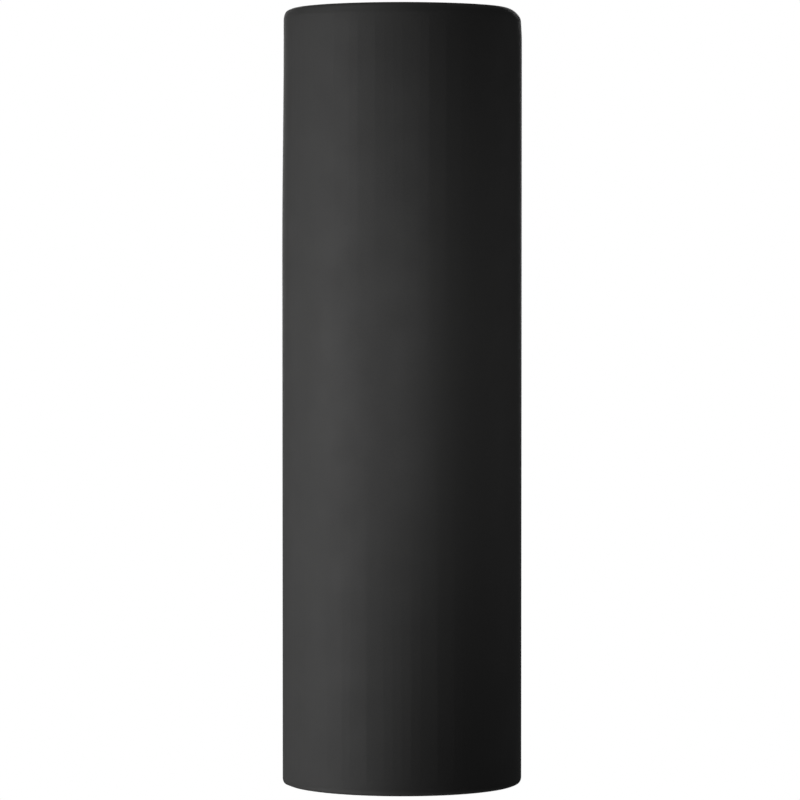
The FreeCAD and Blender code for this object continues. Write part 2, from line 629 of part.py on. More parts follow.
def ceramic_tube():
    """A tube with its back sliced off flat, rounded rims and four lugs for the straps."""
    body = new_body("CeramicTube")
    section = plan(body)
    outline(
        section,
        [
            (OUTER_BACK, "-gasket_thick"),
            ("0", "-tube_depth", TUBE_RADIUS, 1),
            (f"-{OUTER_BACK}", "-gasket_thick", TUBE_RADIUS, 1),
            (f"-{INNER_BACK}", "-gasket_thick"),
            ("0", "tube_wall - tube_depth", INNER_RADIUS, -1),
            (INNER_BACK, "-gasket_thick", INNER_RADIUS, -1),
        ],
    )
    pad(body, section, "tube_height", symmetric=True)
    outer, inner = size(TUBE_RADIUS), size(INNER_RADIUS)
    fillet(body, TOP_ROUND, lambda e: is_arc_of(e, outer) and e.CenterOfMass.z > 0)
    fillet(body, FOOT_ROUND, lambda e: is_arc_of(e, outer) and e.CenterOfMass.z < 0)
    fillet(body, "inner_round", lambda e: is_arc_of(e, inner))
    lugs = front(body, LUG_BACK)
    free_end = f"({LUG_SCREW_X} - lug_reach)"
    for z in (STRAP_Z, f"-{STRAP_Z}"):
        low, high = f"{z} - lug_height / 2", f"{z} + lug_height / 2"
        rectangle(lugs, free_end, LUG_ROOT, low, high)
        rectangle(lugs, f"-{LUG_ROOT}", f"-{free_end}", low, high)
    pad(body, lugs, "lug_thick")
    end_x = size(free_end)
    fillet(body, "lug_round", lambda e: runs_front_to_back(e) and near(abs(e.CenterOfMass.x), end_x))
    holes = front(body, LUG_FRONT)
    for x in (LUG_SCREW_X, f"-{LUG_SCREW_X}"):
        for z in (STRAP_Z, f"-{STRAP_Z}"):
            circle(holes, x, z, "bolt_thread + lug_play")
    pocket(body, holes)
    return node(body, "ceramic_tube")


def wall_gasket(label, sign):
    """A foam strip on one back edge of the tube."""
    strip = doc.addObject("Part::Box", label)
    bind(strip, "Length", "gasket_width")
    bind(strip, "Width", "gasket_thick")
    bind(strip, "Height", "tube_height - 2 * gasket_end_gap")
    edge_middle = f"{sign} * ({OUTER_BACK} + {INNER_BACK}) / 2"
    stand(strip, f"{edge_middle} - gasket_width / 2", "gasket_thick", "gasket_end_gap - tube_height / 2")
    return node(strip, label)


def hanger_strap(label, middle):
    """A steel strap across the tube, with a keyhole on each side. The wide part of a keyhole is below."""
    body = new_body(label)
    low, high = f"{middle} - strap_height / 2", f"{middle} + strap_height / 2"
    blank = front(body, STRAP_BACK)
    rectangle(blank, f"-{STRAP_HALF}", STRAP_HALF, low, high)
    pad(body, blank, "strap_thick")
    fillet(body, "strap_round", runs_front_to_back)
    holes = front(body, STRAP_FRONT)
    slots = front(body, STRAP_FRONT)
    entries = front(body, STRAP_FRONT)
    stud = f"({middle} + keyhole_rise)"
    for sign in ("", "-"):
        circle(holes, sign + LUG_SCREW_X, middle, BOLT_HOLE)
        upright_slot(slots, sign + KEYHOLE_X, f"{stud} - keyhole_drop", stud, KEYHOLE_SLOT)
        circle(entries, sign + KEYHOLE_X, f"{stud} - keyhole_drop", KEYHOLE_ENTRY)
    for cut in (holes, slots, entries):
        pocket(body, cut)
    return node(body, label)


def strap_fixings():
    """The screw, nut, washer and two cushions that clamp a strap to each of the four lugs."""
    corners = [(x + LUG_SCREW_X, z + STRAP_Z) for x in ("", "-") for z in ("", "-")]
    washer_seat = f"({LUG_FRONT} + cushion_thick)"
    nut_seat = f"({washer_seat} + washer_thick)"
    length = f"{nut_seat} + nut_height + bolt_tail - {STRAP_BACK}"
    screw = machine_screw("StrapScrew", "bolt_thread", length, "bolt_head", "bolt_head_height")
    cushion = ring("Cushion", "cushion_outer", BOLT_HOLE, "cushion_thick")
    washer = ring("StrapWasher", "washer_outer", BOLT_HOLE, "washer_thick")
    cushion_seats = [(x, depth, z, TO_THE_ROOM) for x, z in corners for depth in (STRAP_FRONT, LUG_FRONT)]
    group("strap_screws", screw, [(x, STRAP_BACK, z, TO_THE_WALL) for x, z in corners])
    group("strap_cushions", cushion, cushion_seats)
    group("strap_washers", washer, [(x, washer_seat, z, TO_THE_ROOM) for x, z in corners])
    group("strap_nuts", plain_nut("StrapNut"), [(x, nut_seat, z, TO_THE_ROOM) for x, z in corners])


# ---------------------------------------------------------------------------------------------------------------
# The crossbar, the pan and what the tube hangs on
# ---------------------------------------------------------------------------------------------------------------


def crossbar():
    """The strap that is screwed to the junction box, flat on the wall."""
    body = new_body("Crossbar")
    blank = front(body)
    half_length = "(box_screw_spacing / 2 + box_slot_length / 2 + bar_end)"
    rectangle(blank, "-bar_width / 2", "bar_width / 2", f"-{half_length}", half_length)
    pad(body, blank, "bar_thick")
    fillet(body, "bar_round", runs_front_to_back)
    holes = front(body, "bar_thick")
    circle(holes, "0", "0", "bar_centre_hole")
    slot_half = "(box_slot_length - box_slot_width) / 2"
    for sign in ("", "-"):
        circle(holes, "0", sign + STUD_Z, THREAD_HOLE)
        middle = f"{sign}box_screw_spacing / 2"
        upright_slot(holes, "0", f"{middle} - {slot_half}", f"{middle} + {slot_half}", "box_slot_width")
    pocket(body, holes)
    return node(body, "crossbar")


def pan_side(label, sign):
    """A folded side of the pan, from the start of its bend to the foot that stands on the wall."""
    body = new_body(label)
    bend_y, inside = f"({BEND_OUTER} - pan_depth)", f"({PAN_SIDE} - sheet)"
    outward = 1 if sign else -1
    section = plan(body)
    outline(
        section,
        [
            (sign + PAN_WEB, "-pan_depth"),
            (sign + PAN_SIDE, bend_y, BEND_OUTER, outward),
            (sign + PAN_SIDE, "0"),
            (sign + inside, "0"),
            (sign + inside, bend_y),
            (sign + PAN_WEB, "sheet - pan_depth", "bend_inner", -outward),
        ],
    )
    pad(body, section, f"2 * {PAN_HALF}", symmetric=True)
    return node(body, label)


def back_pan():
    """The flat of the pan, which carries everything that stays on the wall."""
    body = new_body("BackPan")
    blank = front(body, "pan_depth - sheet")
    rectangle(blank, f"-{PAN_WEB}", PAN_WEB, f"-{PAN_HALF}", PAN_HALF)
    pad(body, blank, "sheet")
    holes = front(body, "pan_depth")
    circle(holes, CABLE_X, "0", BUSHING_HOLE)
    for x, z in ((KEYHOLE_X, UPPER_STUD), (f"-{KEYHOLE_X}", UPPER_STUD), (f"-{KEYHOLE_X}", LOWER_STUD)):
        circle(holes, x, z, "stud_tail + thread_fit")
    circle(holes, KEYHOLE_X, LOWER_STUD, f"{BUSH_SPIGOT} + thread_fit")
    circle(holes, f"-{EARTH_X}", EARTH_Z, THREAD_HOLE)
    for sign in ("", "-"):
        circle(holes, "0", sign + STUD_Z, BOLT_HOLE)
        circle(holes, BLOCK_X, f"{sign}pole_pitch / 2", "block_screw + thread_fit")
        for x in ("rivet_x", "-rivet_x"):
            circle(holes, x, sign + RIVET_Z, "rivet_shank + thread_fit")
    pocket(body, holes)
    return node(body, "back_pan")


def crossbar_fixings():
    """The studs that stand out of the crossbar, and the washers and cap nuts that hold the pan on them."""
    heights = (STUD_Z, f"-{STUD_Z}")
    stud = turned(
        "CrossbarStud",
        [
            ("0", "0"),
            ("bolt_thread / 2", "0"),
            ("bolt_thread / 2", "bar_stud_length - edge_break"),
            ("bolt_thread / 2 - edge_break", "bar_stud_length"),
            ("0", "bar_stud_length"),
        ],
    )
    washer = ring("LockWasher", "lock_washer_outer", BOLT_HOLE, "lock_washer_thick")
    nut_seat = "pan_depth + lock_washer_thick"
    group("crossbar_studs", stud, [("0", "0", z, TO_THE_ROOM) for z in heights])
    group("lock_washers", washer, [("0", "pan_depth", z, TO_THE_ROOM) for z in heights])
    group("cap_nuts", cap_nut("CapNut"), [("0", nut_seat, z, TO_THE_ROOM) for z in heights])


def hanger_studs():
    """Three shouldered studs riveted into the pan. The fourth keyhole is the lock screw's."""
    neck = "(strap_gap + strap_thick + stud_play)"
    top = f"({neck} + stud_head_height)"
    clench_end = "-sheet - stud_clench_height"
    stud = turned(
        "HangerStud",
        [
            ("0", clench_end),
            ("stud_clench / 2", clench_end),
            ("stud_clench / 2", "-sheet"),
            ("stud_tail / 2", "-sheet"),
            ("stud_tail / 2", "0"),
            ("stud_neck / 2", "0"),
            ("stud_neck / 2", neck),
            ("stud_head / 2", neck),
            ("stud_head / 2", f"{neck} + stud_head_height / 2"),
            ("stud_head / 2 - stud_head_height / 2", top, "stud_head_height / 2", -1),
            ("0", top),
        ],
    )
    places = ((KEYHOLE_X, UPPER_STUD), (f"-{KEYHOLE_X}", UPPER_STUD), (f"-{KEYHOLE_X}", LOWER_STUD))
    group("hanger_studs", stud, [(x, "pan_depth", z, TO_THE_ROOM) for x, z in places])


def lock_bush():
    """A threaded bush pressed into the pan from behind."""
    thread, spigot = "(lock_thread + thread_fit) / 2", f"{BUSH_SPIGOT} / 2"
    flange = f"({spigot} + bush_flange_width)"
    body = turned(
        "LockBush",
        [
            (thread, "-bush_length"),
            (spigot, "-bush_length"),
            (spigot, "-sheet - bush_flange_height"),
            (flange, "-sheet - bush_flange_height"),
            (flange, "-sheet"),
            (spigot, "-sheet"),
            (spigot, "0"),
            (thread, "0"),
        ],
    )
    stand(body, KEYHOLE_X, "pan_depth", LOWER_STUD, TO_THE_ROOM)
    return node(body, "lock_bush")


def lock_screw():
    """The knurled screw that clamps the lower strap to the pan."""
    head_foot = "lock_collar_height"
    head_top = "(lock_collar_height + lock_head_height)"
    body = turned(
        "LockScrew",
        [
            ("0", "-lock_length"),
            ("lock_thread / 2 - edge_break", "-lock_length"),
            ("lock_thread / 2", "edge_break - lock_length"),
            ("lock_thread / 2", "0"),
            ("lock_collar / 2", "0"),
            ("lock_collar / 2", head_foot),
            ("lock_head / 2 - edge_break", head_foot),
            ("lock_head / 2", f"{head_foot} + edge_break"),
            ("lock_head / 2", f"{head_top} - edge_break"),
            ("lock_head / 2 - edge_break", head_top),
            ("0", head_top),
        ],
    )
    groove = plan(body, head_top)
    circle(groove, "lock_head / 2 + knurl_width / 4", "0", "knurl_width")
    cut = pocket(body, groove, "lock_head_height")
    knurl = body.newObject("PartDesign::PolarPattern", "Knurl")
    knurl.Originals = [cut]
    knurl.Axis = (groove, ["N_Axis"])
    knurl.Angle = 360
    bind(knurl, "Occurrences", "knurl_count")
    body.Tip = knurl
    stand(body, KEYHOLE_X, f"{STRAP_FRONT} + lock_gap", LOWER_STUD, TO_THE_ROOM)
    return node(body, "lock_screw")


def cable_bushing():
    """A snap-in bushing where the supply cable comes through the pan."""
    barrel = f"({BUSHING_HOLE} / 2 - bushing_fit)"
    flange = f"({BUSHING_HOLE} / 2 + bushing_flange_width)"
    lip_foot = "-sheet - bushing_fit - bushing_lip_height"
    body = turned(
        "CableBushing",
        [
            ("cable_bore / 2", lip_foot),
            (barrel, lip_foot),
            (f"{BUSHING_HOLE} / 2 + bushing_lip_width", "-sheet - bushing_fit"),
            (barrel, "-sheet - bushing_fit"),
            (barrel, "0"),
            (flange, "0"),
            (flange, "bushing_flange_height / 2"),
            (f"{flange} - bushing_flange_height / 2", "bushing_flange_height"),
            ("cable_bore / 2", "bushing_flange_height"),
        ],
    )
    stand(body, CABLE_X, "pan_depth", "0", TO_THE_ROOM)
    return node(body, "cable_bushing")


# ---------------------------------------------------------------------------------------------------------------
# Brackets and lampholders, drawn for the upper lamp and turned over for the lower one
# ---------------------------------------------------------------------------------------------------------------


def end_piece(body, label, turn):
    """Turns a finished piece to its end of the light and names it."""
    body.Placement = Placement(Vector(), turn)
    return node(body, label)


def holder_bracket(label, turn):
    """A folded bracket: its leg lies on the pan and its shelf carries the lampholder."""
    body = new_body(label)
    bend_z, bend_y = f"({HOLDER_FOOT} - {BEND_OUTER})", f"(-pan_depth - {BEND_OUTER})"
    leg_foot = f"{SHELF} - bracket_leg"
    section = side(body)
    outline(
        section,
        [
            ("-pan_depth", leg_foot),
            ("-pan_depth", bend_z),
            (bend_y, HOLDER_FOOT, BEND_OUTER, -1),
            (f"-{SHELF_FRONT}", HOLDER_FOOT),
            (f"-{SHELF_FRONT}", SHELF),
            (bend_y, SHELF),
            ("-pan_depth - sheet", bend_z, "bend_inner", 1),
            ("-pan_depth - sheet", leg_foot),
        ],
    )
    pad(body, section, f"2 * ({BASE_RADIUS} + shelf_side)", symmetric=True)
    front_y = -size(SHELF_FRONT)
    upright = Vector(0, 0, 1)
    fillet(body, "shelf_round", lambda e: runs_along(e, upright) and near(e.CenterOfMass.y, front_y))
    rivets = front(body, "pan_depth + sheet")
    shelf_holes = plan(body, HOLDER_FOOT)
    for sign in ("", "-"):
        circle(rivets, f"{sign}rivet_x", RIVET_Z, "rivet_shank + thread_fit")
        circle(shelf_holes, f"{sign}holder_screw_x", f"-{LAMP_DEPTH}", "holder_screw + thread_fit")
        circle(shelf_holes, f"{sign}lead_hole_x", f"-{LEAD_HOLE_DEPTH}", LEAD_HOLE)
    pocket(body, rivets)
    pocket(body, shelf_holes)
    return end_piece(body, label, turn)


def lampholder(label, turn):
    """A porcelain lampholder, bored for its screw shell, with blind holes below for screws and leads."""
    body = turned(
        label,
        [
            ("0", HOLDER_FOOT),
            (BASE_RADIUS, HOLDER_FOOT),
            (BASE_RADIUS, f"{HOLDER_FOOT} + holder_base_height"),
            (BARREL_RADIUS, f"{HOLDER_FOOT} + holder_base_height"),
            (BARREL_RADIUS, HOLDER_TOP),
            (BORE_RADIUS, HOLDER_TOP),
            (BORE_RADIUS, SHELL_FOOT),
            ("0", SHELL_FOOT),
        ],
        LAMP_DEPTH,
    )
    rounded = (
        (size(BASE_RADIUS), size(f"{HOLDER_FOOT} + holder_base_height")),
        (size(BARREL_RADIUS), size(HOLDER_TOP)),
    )
    fillet(
        body,
        "min(holder_round; holder_step - edge_break; holder_wall - edge_break)",
        lambda e: any(is_arc_of(e, radius) and near(e.CenterOfMass.z, z) for radius, z in rounded),
    )
    screw_holes = plan(body, f"{SHELL_FOOT} - holder_floor")
    lead_holes = plan(body, f"{SHELL_FOOT} - holder_floor")
    for sign in ("", "-"):
        circle(screw_holes, f"{sign}holder_screw_x", f"-{LAMP_DEPTH}", "holder_screw + thread_fit")
        circle(lead_holes, f"{sign}lead_hole_x", f"-{LEAD_HOLE_DEPTH}", LEAD_HOLE)
    pocket(body, screw_holes)
    pocket(body, lead_holes)
    return end_piece(body, label, turn)


def screw_shell(label, turn):
    """The thin metal shell that a lamp screws into."""
    shell_top = f"{HOLDER_TOP} - holder_rim"
    inside = f"{SHELL_RADIUS} - shell_wall"
    body = turned(
        label,
        [
            ("shell_opening / 2", SHELL_FOOT),
            (SHELL_RADIUS, SHELL_FOOT),
            (SHELL_RADIUS, shell_top),
            (inside, shell_top),
            (inside, f"{SHELL_FOOT} + shell_wall"),
            ("shell_opening / 2", f"{SHELL_FOOT} + shell_wall"),
        ],
        LAMP_DEPTH,
    )
    return end_piece(body, label, turn)


def centre_contact(label, turn):
    """The live contact in the floor of the lampholder."""
    base = "shell_opening / 2 - contact_gap"
    body = turned(
        label,
        [
            ("0", SHELL_FOOT),
            (base, SHELL_FOOT),
            (base, f"{SHELL_FOOT} + contact_base_height"),
            ("contact_button / 2", f"{SHELL_FOOT} + contact_base_height"),
            ("contact_top / 2", f"{SHELL_FOOT} + contact_height"),
            ("0", f"{SHELL_FOOT} + contact_height"),
        ],
        LAMP_DEPTH,
    )
    return end_piece(body, label, turn)


def holder_fixings():
    """The rivets of both brackets and the screws of both lampholders."""
    grip = "2 * sheet"
    head_dome = "((rivet_head / 2) ^ 2 + rivet_head_height ^ 2) / (2 * rivet_head_height)"
    rivet = turned(
        "Rivet",
        [
            ("0", f"-{grip} - rivet_tail_height"),
            ("rivet_tail / 2", f"-{grip} - rivet_tail_height"),
            ("rivet_tail / 2", f"-{grip}"),
            ("rivet_shank / 2", f"-{grip}"),
            ("rivet_shank / 2", "0"),
            ("rivet_head / 2", "0"),
            ("0", "rivet_head_height", head_dome, -1),
        ],
    )
    screw_length = "sheet + holder_web - holder_floor - thread_fit"
    screw = machine_screw(
        "HolderScrew", "holder_screw", screw_length, "holder_screw_head", "holder_screw_head_height"
    )
    rivets, screws = [], []
    for sign, turn in (("", UPSIDE_DOWN), ("-", UPRIGHT)):
        for x in ("", "-"):
            rivets.append((f"{x}rivet_x", "pan_depth + sheet", sign + RIVET_Z, TO_THE_ROOM))
            screws.append((f"{x}holder_screw_x", LAMP_DEPTH, sign + SHELF, turn))
    group("bracket_rivets", rivet, rivets)
    group("holder_screws", screw, screws)


# ---------------------------------------------------------------------------------------------------------------
# Lamps, drawn for the upper lampholder and turned over for the lower one
# ---------------------------------------------------------------------------------------------------------------


def lamp_contact(label, turn):
    """The live tip of a lamp."""
    body = turned(
        label,
        [
            ("0", LAMP_TIP),
            ("tip_outer / 2 - edge_break", LAMP_TIP),
            ("tip_outer / 2", f"{LAMP_TIP} + edge_break"),
            ("tip_outer / 2", INSULATOR_FOOT),
            ("0", INSULATOR_FOOT),
        ],
        LAMP_DEPTH,
    )
    return end_piece(body, label, turn)


def lamp_insulator(label, turn):
    """The insulating cone between a lamp's tip and its screw cap."""
    body = turned(
        label,
        [
            ("0", INSULATOR_FOOT),
            ("tip_outer / 2 + insulator_lip", INSULATOR_FOOT),
            ("cap_root / 2 - cap_skin", CAP_FOOT),
            ("0", CAP_FOOT),
        ],
        LAMP_DEPTH,
    )
    return end_piece(body, label, turn)


def lamp_cap(label, turn):
    """The screw cap, with its rounded thread drawn as rings."""
    rise = "((cap_crest - cap_root) / 2)"
    ridge = f"((cap_pitch / 2) ^ 2 / (2 * {rise}) + {rise} / 2)"
    corners = [("cap_inner / 2", CAP_FOOT), ("cap_root / 2", CAP_FOOT)]
    for turn_number in range(1, int(size("cap_turns")) + 1):
        corners.append(("cap_root / 2", f"{CAP_FOOT} + {turn_number} * cap_pitch", ridge, -1))
    corners += [
        ("cap_crest / 2", f"{COLLAR_FOOT} + {rise}"),
        ("cap_crest / 2", CAP_TOP),
        ("cap_inner / 2", CAP_TOP),
    ]
    return end_piece(turned(label, corners, LAMP_DEPTH), label, turn)


def lamp_housing(label, turn):
    """The flared housing: a spigot in the cap, a hollow for the driver, and a straight rim with a board ledge."""
    spigot, foot = "(cap_inner / 2 - spigot_fit)", "(housing_foot / 2)"
    inner_foot = f"{CAP_TOP} + housing_foot_height"
    body = turned(
        label,
        [
            (f"{spigot} - housing_wall", f"{CAP_FOOT} + spigot_rise"),
            (spigot, f"{CAP_FOOT} + spigot_rise"),
            (spigot, CAP_TOP),
            (foot, CAP_TOP),
            (foot, inner_foot),
            (RIM_RADIUS, f"{HOUSING_RIM} - 2 * housing_ledge", "housing_flare", 1),
            (RIM_RADIUS, HOUSING_RIM),
            (f"{RIM_RADIUS} - housing_wall", HOUSING_RIM),
            (f"{RIM_RADIUS} - housing_wall", f"{HOUSING_RIM} - housing_ledge"),
            (f"{RIM_RADIUS} - housing_wall - housing_ledge_width", f"{HOUSING_RIM} - housing_ledge"),
            (f"{RIM_RADIUS} - housing_wall - housing_ledge_width", f"{HOUSING_RIM} - 2 * housing_ledge"),
            (f"{foot} - housing_wall", f"{inner_foot} + spigot_rise", "housing_flare", -1),
            (f"{spigot} - housing_wall", f"{CAP_TOP} + spigot_rise"),
        ],
        LAMP_DEPTH,
    )
    return end_piece(body, label, turn)


def lamp_board(label, turn):
    """The round board that carries the light emitters, on the housing's ledge."""
    foot = f"({HOUSING_RIM} - housing_ledge)"
    edge = f"({RIM_RADIUS} - housing_wall - board_fit)"
    corners = [("0", foot), (edge, foot), (edge, f"{foot} + board_thick"), ("0", f"{foot} + board_thick")]
    return end_piece(turned(label, corners, LAMP_DEPTH), label, turn)


def lamp_globe(label, turn):
    """The opal globe on the housing's rim."""
    body = turned(
        label,
        [
            (RIM_INSIDE, HOUSING_RIM, "lamp_globe / 2 - globe_wall", 1),
            (RIM_RADIUS, HOUSING_RIM),
            ("0", LAMP_TOP, "lamp_globe / 2", -1),
            ("0", f"{LAMP_TOP} - globe_wall"),
        ],
        LAMP_DEPTH,
    )
    return end_piece(body, label, turn)


# ---------------------------------------------------------------------------------------------------------------
# Terminal block, leads and earth
# ---------------------------------------------------------------------------------------------------------------


def terminal_block():
    """A three-pole block on the pan: earth above, live in the middle, neutral below."""
    body = new_body("TerminalBlock")
    blank = front(body, "pan_depth")
    rectangle(blank, "-block_left", "block_width - block_left", f"-{BLOCK_HALF}", BLOCK_HALF)
    pad(body, blank, "block_depth")
    face = "pan_depth + block_depth"
    bores = side(body)
    wells, recesses, screw_holes = front(body, face), front(body, face), front(body, face)
    for z in ("pole_pitch", "0", "-pole_pitch"):
        circle(bores, f"-{ENTRY_DEPTH}", z, f"{TUBE_OUTER} + thread_fit")
        for sign in ("+", "-"):
            circle(wells, f"{BLOCK_X} {sign} clamp_x", z, "clamp_thread + clamp_well_play")
    for sign in ("", "-"):
        circle(recesses, BLOCK_X, f"{sign}pole_pitch / 2", "block_screw_head + block_screw_play")
        circle(screw_holes, BLOCK_X, f"{sign}pole_pitch / 2", "block_screw + block_screw_play")
    pocket(body, bores, symmetric=True)
    pocket(body, wells, "block_depth - entry_height")
    pocket(body, recesses, "block_recess")
    pocket(body, screw_holes)
    return node(body, "terminal_block")


def pole_tube(name):
    """A brass tube, tapped twice on the side that faces the room."""
    length = "(block_width - 2 * tube_inset)"
    body = ring(name, TUBE_OUTER, TUBE_BORE, length)
    taps = front(body, TUBE_OUTER)
    for sign in ("+", "-"):
        circle(taps, "0", f"{length} / 2 {sign} clamp_x", "clamp_thread + thread_fit")
    pocket(body, taps, TUBE_OUTER)
    return body


def clamp_screw(name):
    """A slotted screw that clamps a wire in a brass tube."""
    edge = "clamp_thread / 2"
    body = turned(name, [("0", "0"), (edge, "0"), (edge, "clamp_length"), ("0", "clamp_length")])
    slot = plan(body, "clamp_length")
    rectangle(slot, "-clamp_thread", "clamp_thread", "-clamp_slot_width / 2", "clamp_slot_width / 2")
    pocket(body, slot, "clamp_slot_depth")
    return body


def terminal_metalwork():
    """The brass tubes in the block, their clamping screws, and the screws that hold the block."""
    poles = ("pole_pitch", "0", "-pole_pitch")
    tube_left = "tube_inset - block_left"
    clamp_seat = f"{ENTRY_DEPTH} + {TUBE_BORE} / 2"
    head_seat = "(pan_depth + block_depth - block_recess)"
    screw_length = f"{head_seat} - pan_depth + sheet + block_screw_tail"
    screw = machine_screw(
        "BlockScrew", "block_screw", screw_length, "block_screw_head", "block_screw_head_height"
    )
    clamps = [(f"{BLOCK_X} {x} clamp_x", clamp_seat, z, TO_THE_ROOM) for z in poles for x in ("+", "-")]
    screws = [(BLOCK_X, head_seat, f"{sign}pole_pitch / 2", TO_THE_ROOM) for sign in ("", "-")]
    group("terminal_tubes", pole_tube("PoleTube"), [(tube_left, ENTRY_DEPTH, z, TO_THE_RIGHT) for z in poles])
    group("terminal_screws", clamp_screw("ClampScrew"), clamps)
    group("block_screws", screw, screws)


def rounded_path(points):
    """Straight runs joined by arcs as large as the runs allow, and the radii of the arcs."""
    edges, radii, start = [], [], points[0]
    for before, corner, after in zip(points, points[1:], points[2:]):
        back, on = before - corner, after - corner
        half_turn = (math.pi - back.getAngle(on)) / 2
        radius = ARC_SHARE * min(back.Length, on.Length) / math.tan(half_turn)
        reach = radius * math.tan(half_turn)
        first = corner + back.normalize() * reach
        last = corner + on.normalize() * reach
        centre = corner + (back + on).normalize() * (radius / math.cos(half_turn))
        middle = centre + (corner - centre).normalize() * radius
        edges += [Part.LineSegment(start, first).toShape(), Part.Arc(first, middle, last).toShape()]
        radii.append(radius)
        start = last
    edges.append(Part.LineSegment(start, points[-1]).toShape())
    return Part.Wire(edges), radii


def lead(label, places):
    """An insulated lead along its route. A place is (x, depth, z)."""
    points = [Vector(size(x), -size(depth), size(z)) for x, depth, z in places]
    radius = size("lead_outer") / 2
    path, arc_radii = rounded_path(points)
    section = Part.Wire(Part.Circle(points[0], points[1] - points[0], radius).toShape())
    tube = path.makePipeShell([section], True, False)
    if abs(tube.Volume / (math.pi * radius**2 * path.Length) - 1) > 0.01:
        raise RuntimeError(f"{label}: the tube's volume isn't its section times its length")
    print(f"{label}: {path.Length:.1f} mm long, arc radii", ", ".join(f"{r:.1f}" for r in arc_radii))
    feature = doc.addObject("Part::Feature", label)
    feature.Shape = tube
    feature.Placement = Placement()
    return node(feature, label)


def lamp_lead(label, sign, pole, line_x, step, hole_x, plane):
    """A lead from a pole of the block, along the side of the pan and into a lampholder."""
    depth = f"{ENTRY_DEPTH} {plane} (lead_outer + lead_gap) / 2"
    turn_z = f"{sign}({SHELF} - lead_turn - {step})"
    lead(
        label,
        [
            ("tube_inset + lead_grip - block_left", depth, pole),
            (f"-{line_x}", depth, pole),
            (f"-{line_x}", depth, turn_z),
            (hole_x, LEAD_HOLE_DEPTH, turn_z),
            (hole_x, LEAD_HOLE_DEPTH, f"{sign}({SHELL_FOOT} - holder_floor - lead_gap)"),
        ],
    )


def earth():
    """The earth lead, its crimped ring and the screw that holds it to the pan."""
    crimp_depth = f"(pan_depth + {CRIMP_OUTER} / 2)"
    crimp_foot = f"({EARTH_Z} - ring_outer / 2 - crimp_length)"
    lead(
        "earth_lead",
        [
            ("tube_inset + lead_grip - block_left", ENTRY_DEPTH, "pole_pitch"),
            (f"-{EARTH_X}", ENTRY_DEPTH, "pole_pitch"),
            (f"-{EARTH_X}", crimp_depth, f"{crimp_foot} - earth_turn"),
            (f"-{EARTH_X}", crimp_depth, f"{crimp_foot} + crimp_entry"),
        ],
    )
    body = new_body("EarthRing")
    disc = front(body, "pan_depth")
    circle(disc, f"-{EARTH_X}", EARTH_Z, "ring_outer")
    pad(body, disc, "ring_thick")
    neck = front(body, "pan_depth")
    neck_sides = (f"-{EARTH_X} - ring_neck / 2", f"-{EARTH_X} + ring_neck / 2")
    rectangle(neck, *neck_sides, f"{crimp_foot} + crimp_length / 2", f"{EARTH_Z} - {BOLT_HOLE} / 2")
    pad(body, neck, "ring_thick")
    barrel = plan(body, crimp_foot)
    circle(barrel, f"-{EARTH_X}", f"-{crimp_depth}", CRIMP_OUTER)
    pad(body, barrel, "crimp_length")
    socket = plan(body, f"{crimp_foot} + crimp_entry + thread_fit")
    circle(socket, f"-{EARTH_X}", f"-{crimp_depth}", "lead_outer + thread_fit")
    pocket(body, socket)
    hole = front(body, "pan_depth + ring_thick")
    circle(hole, f"-{EARTH_X}", EARTH_Z, BOLT_HOLE)
    pocket(body, hole)
    node(body, "earth_ring")
    screw = machine_screw("EarthScrew", "bolt_thread", "earth_screw_length", "bolt_head", "bolt_head_height")
    stand(screw, f"-{EARTH_X}", "pan_depth + ring_thick", EARTH_Z, TO_THE_ROOM)
    node(screw, "earth_screw")


ceramic_tube()
wall_gasket("left_wall_gasket", "-1")
wall_gasket("right_wall_gasket", "1")
hanger_strap("upper_hanger_strap", STRAP_Z)
hanger_strap("lower_hanger_strap", f"-{STRAP_Z}")
strap_fixings()
crossbar()
back_pan()
pan_side("left_pan_side", "-")
pan_side("right_pan_side", "")
crossbar_fixings()
hanger_studs()
lock_bush()
lock_screw()
cable_bushing()
for end, turn in (("upper", UPRIGHT), ("lower", UPSIDE_DOWN)):
    holder_bracket(f"{end}_holder_bracket", turn)
    lampholder(f"{end}_lampholder", turn)
    screw_shell(f"{end}_screw_shell", turn)
    centre_contact(f"{end}_centre_contact", turn)
    lamp_contact(f"{end}_lamp_contact", turn)
    lamp_insulator(f"{end}_lamp_insulator", turn)
    lamp_cap(f"{end}_lamp_cap", turn)
    lamp_housing(f"{end}_lamp_housing", turn)
    lamp_board(f"{end}_lamp_board", turn)
    lamp_globe(f"{end}_lamp_globe", turn)
holder_fixings()
terminal_block()
terminal_metalwork()
lamp_lead("upper_live_lead", "", "0", LEAD_INNER_X, "lead_step", "lead_hole_x", "-")
lamp_lead("upper_neutral_lead", "", "-pole_pitch", LEAD_OUTER_X, "0", "-lead_hole_x", "-")
lamp_lead("lower_live_lead", "-", "0", LEAD_OUTER_X, "0", "-lead_hole_x", "+")
lamp_lead("lower_neutral_lead", "-", "-pole_pitch", LEAD_INNER_X, "lead_step", "lead_hole_x", "+")
earth()

doc.recompute()
for feature in doc.Objects:
    if "Invalid" in feature.State or "Error" in feature.State:
        raise RuntimeError(f"{feature.Name} ({feature.Label}) failed: {feature.State}")
for part in nodes:
    if part.Shape.isNull() or not part.Shape.isValid() or not part.Shape.Solids:
        raise RuntimeError(f"{part.Label} has no valid solid")

os.makedirs("parts", exist_ok=True)
for part in nodes:
    part.Shape.exportStep(f"parts/{part.Label}.step")
print(len(nodes), "nodes,", sum(len(part.Shape.Solids) for part in nodes), "solids")
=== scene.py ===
import json
import math

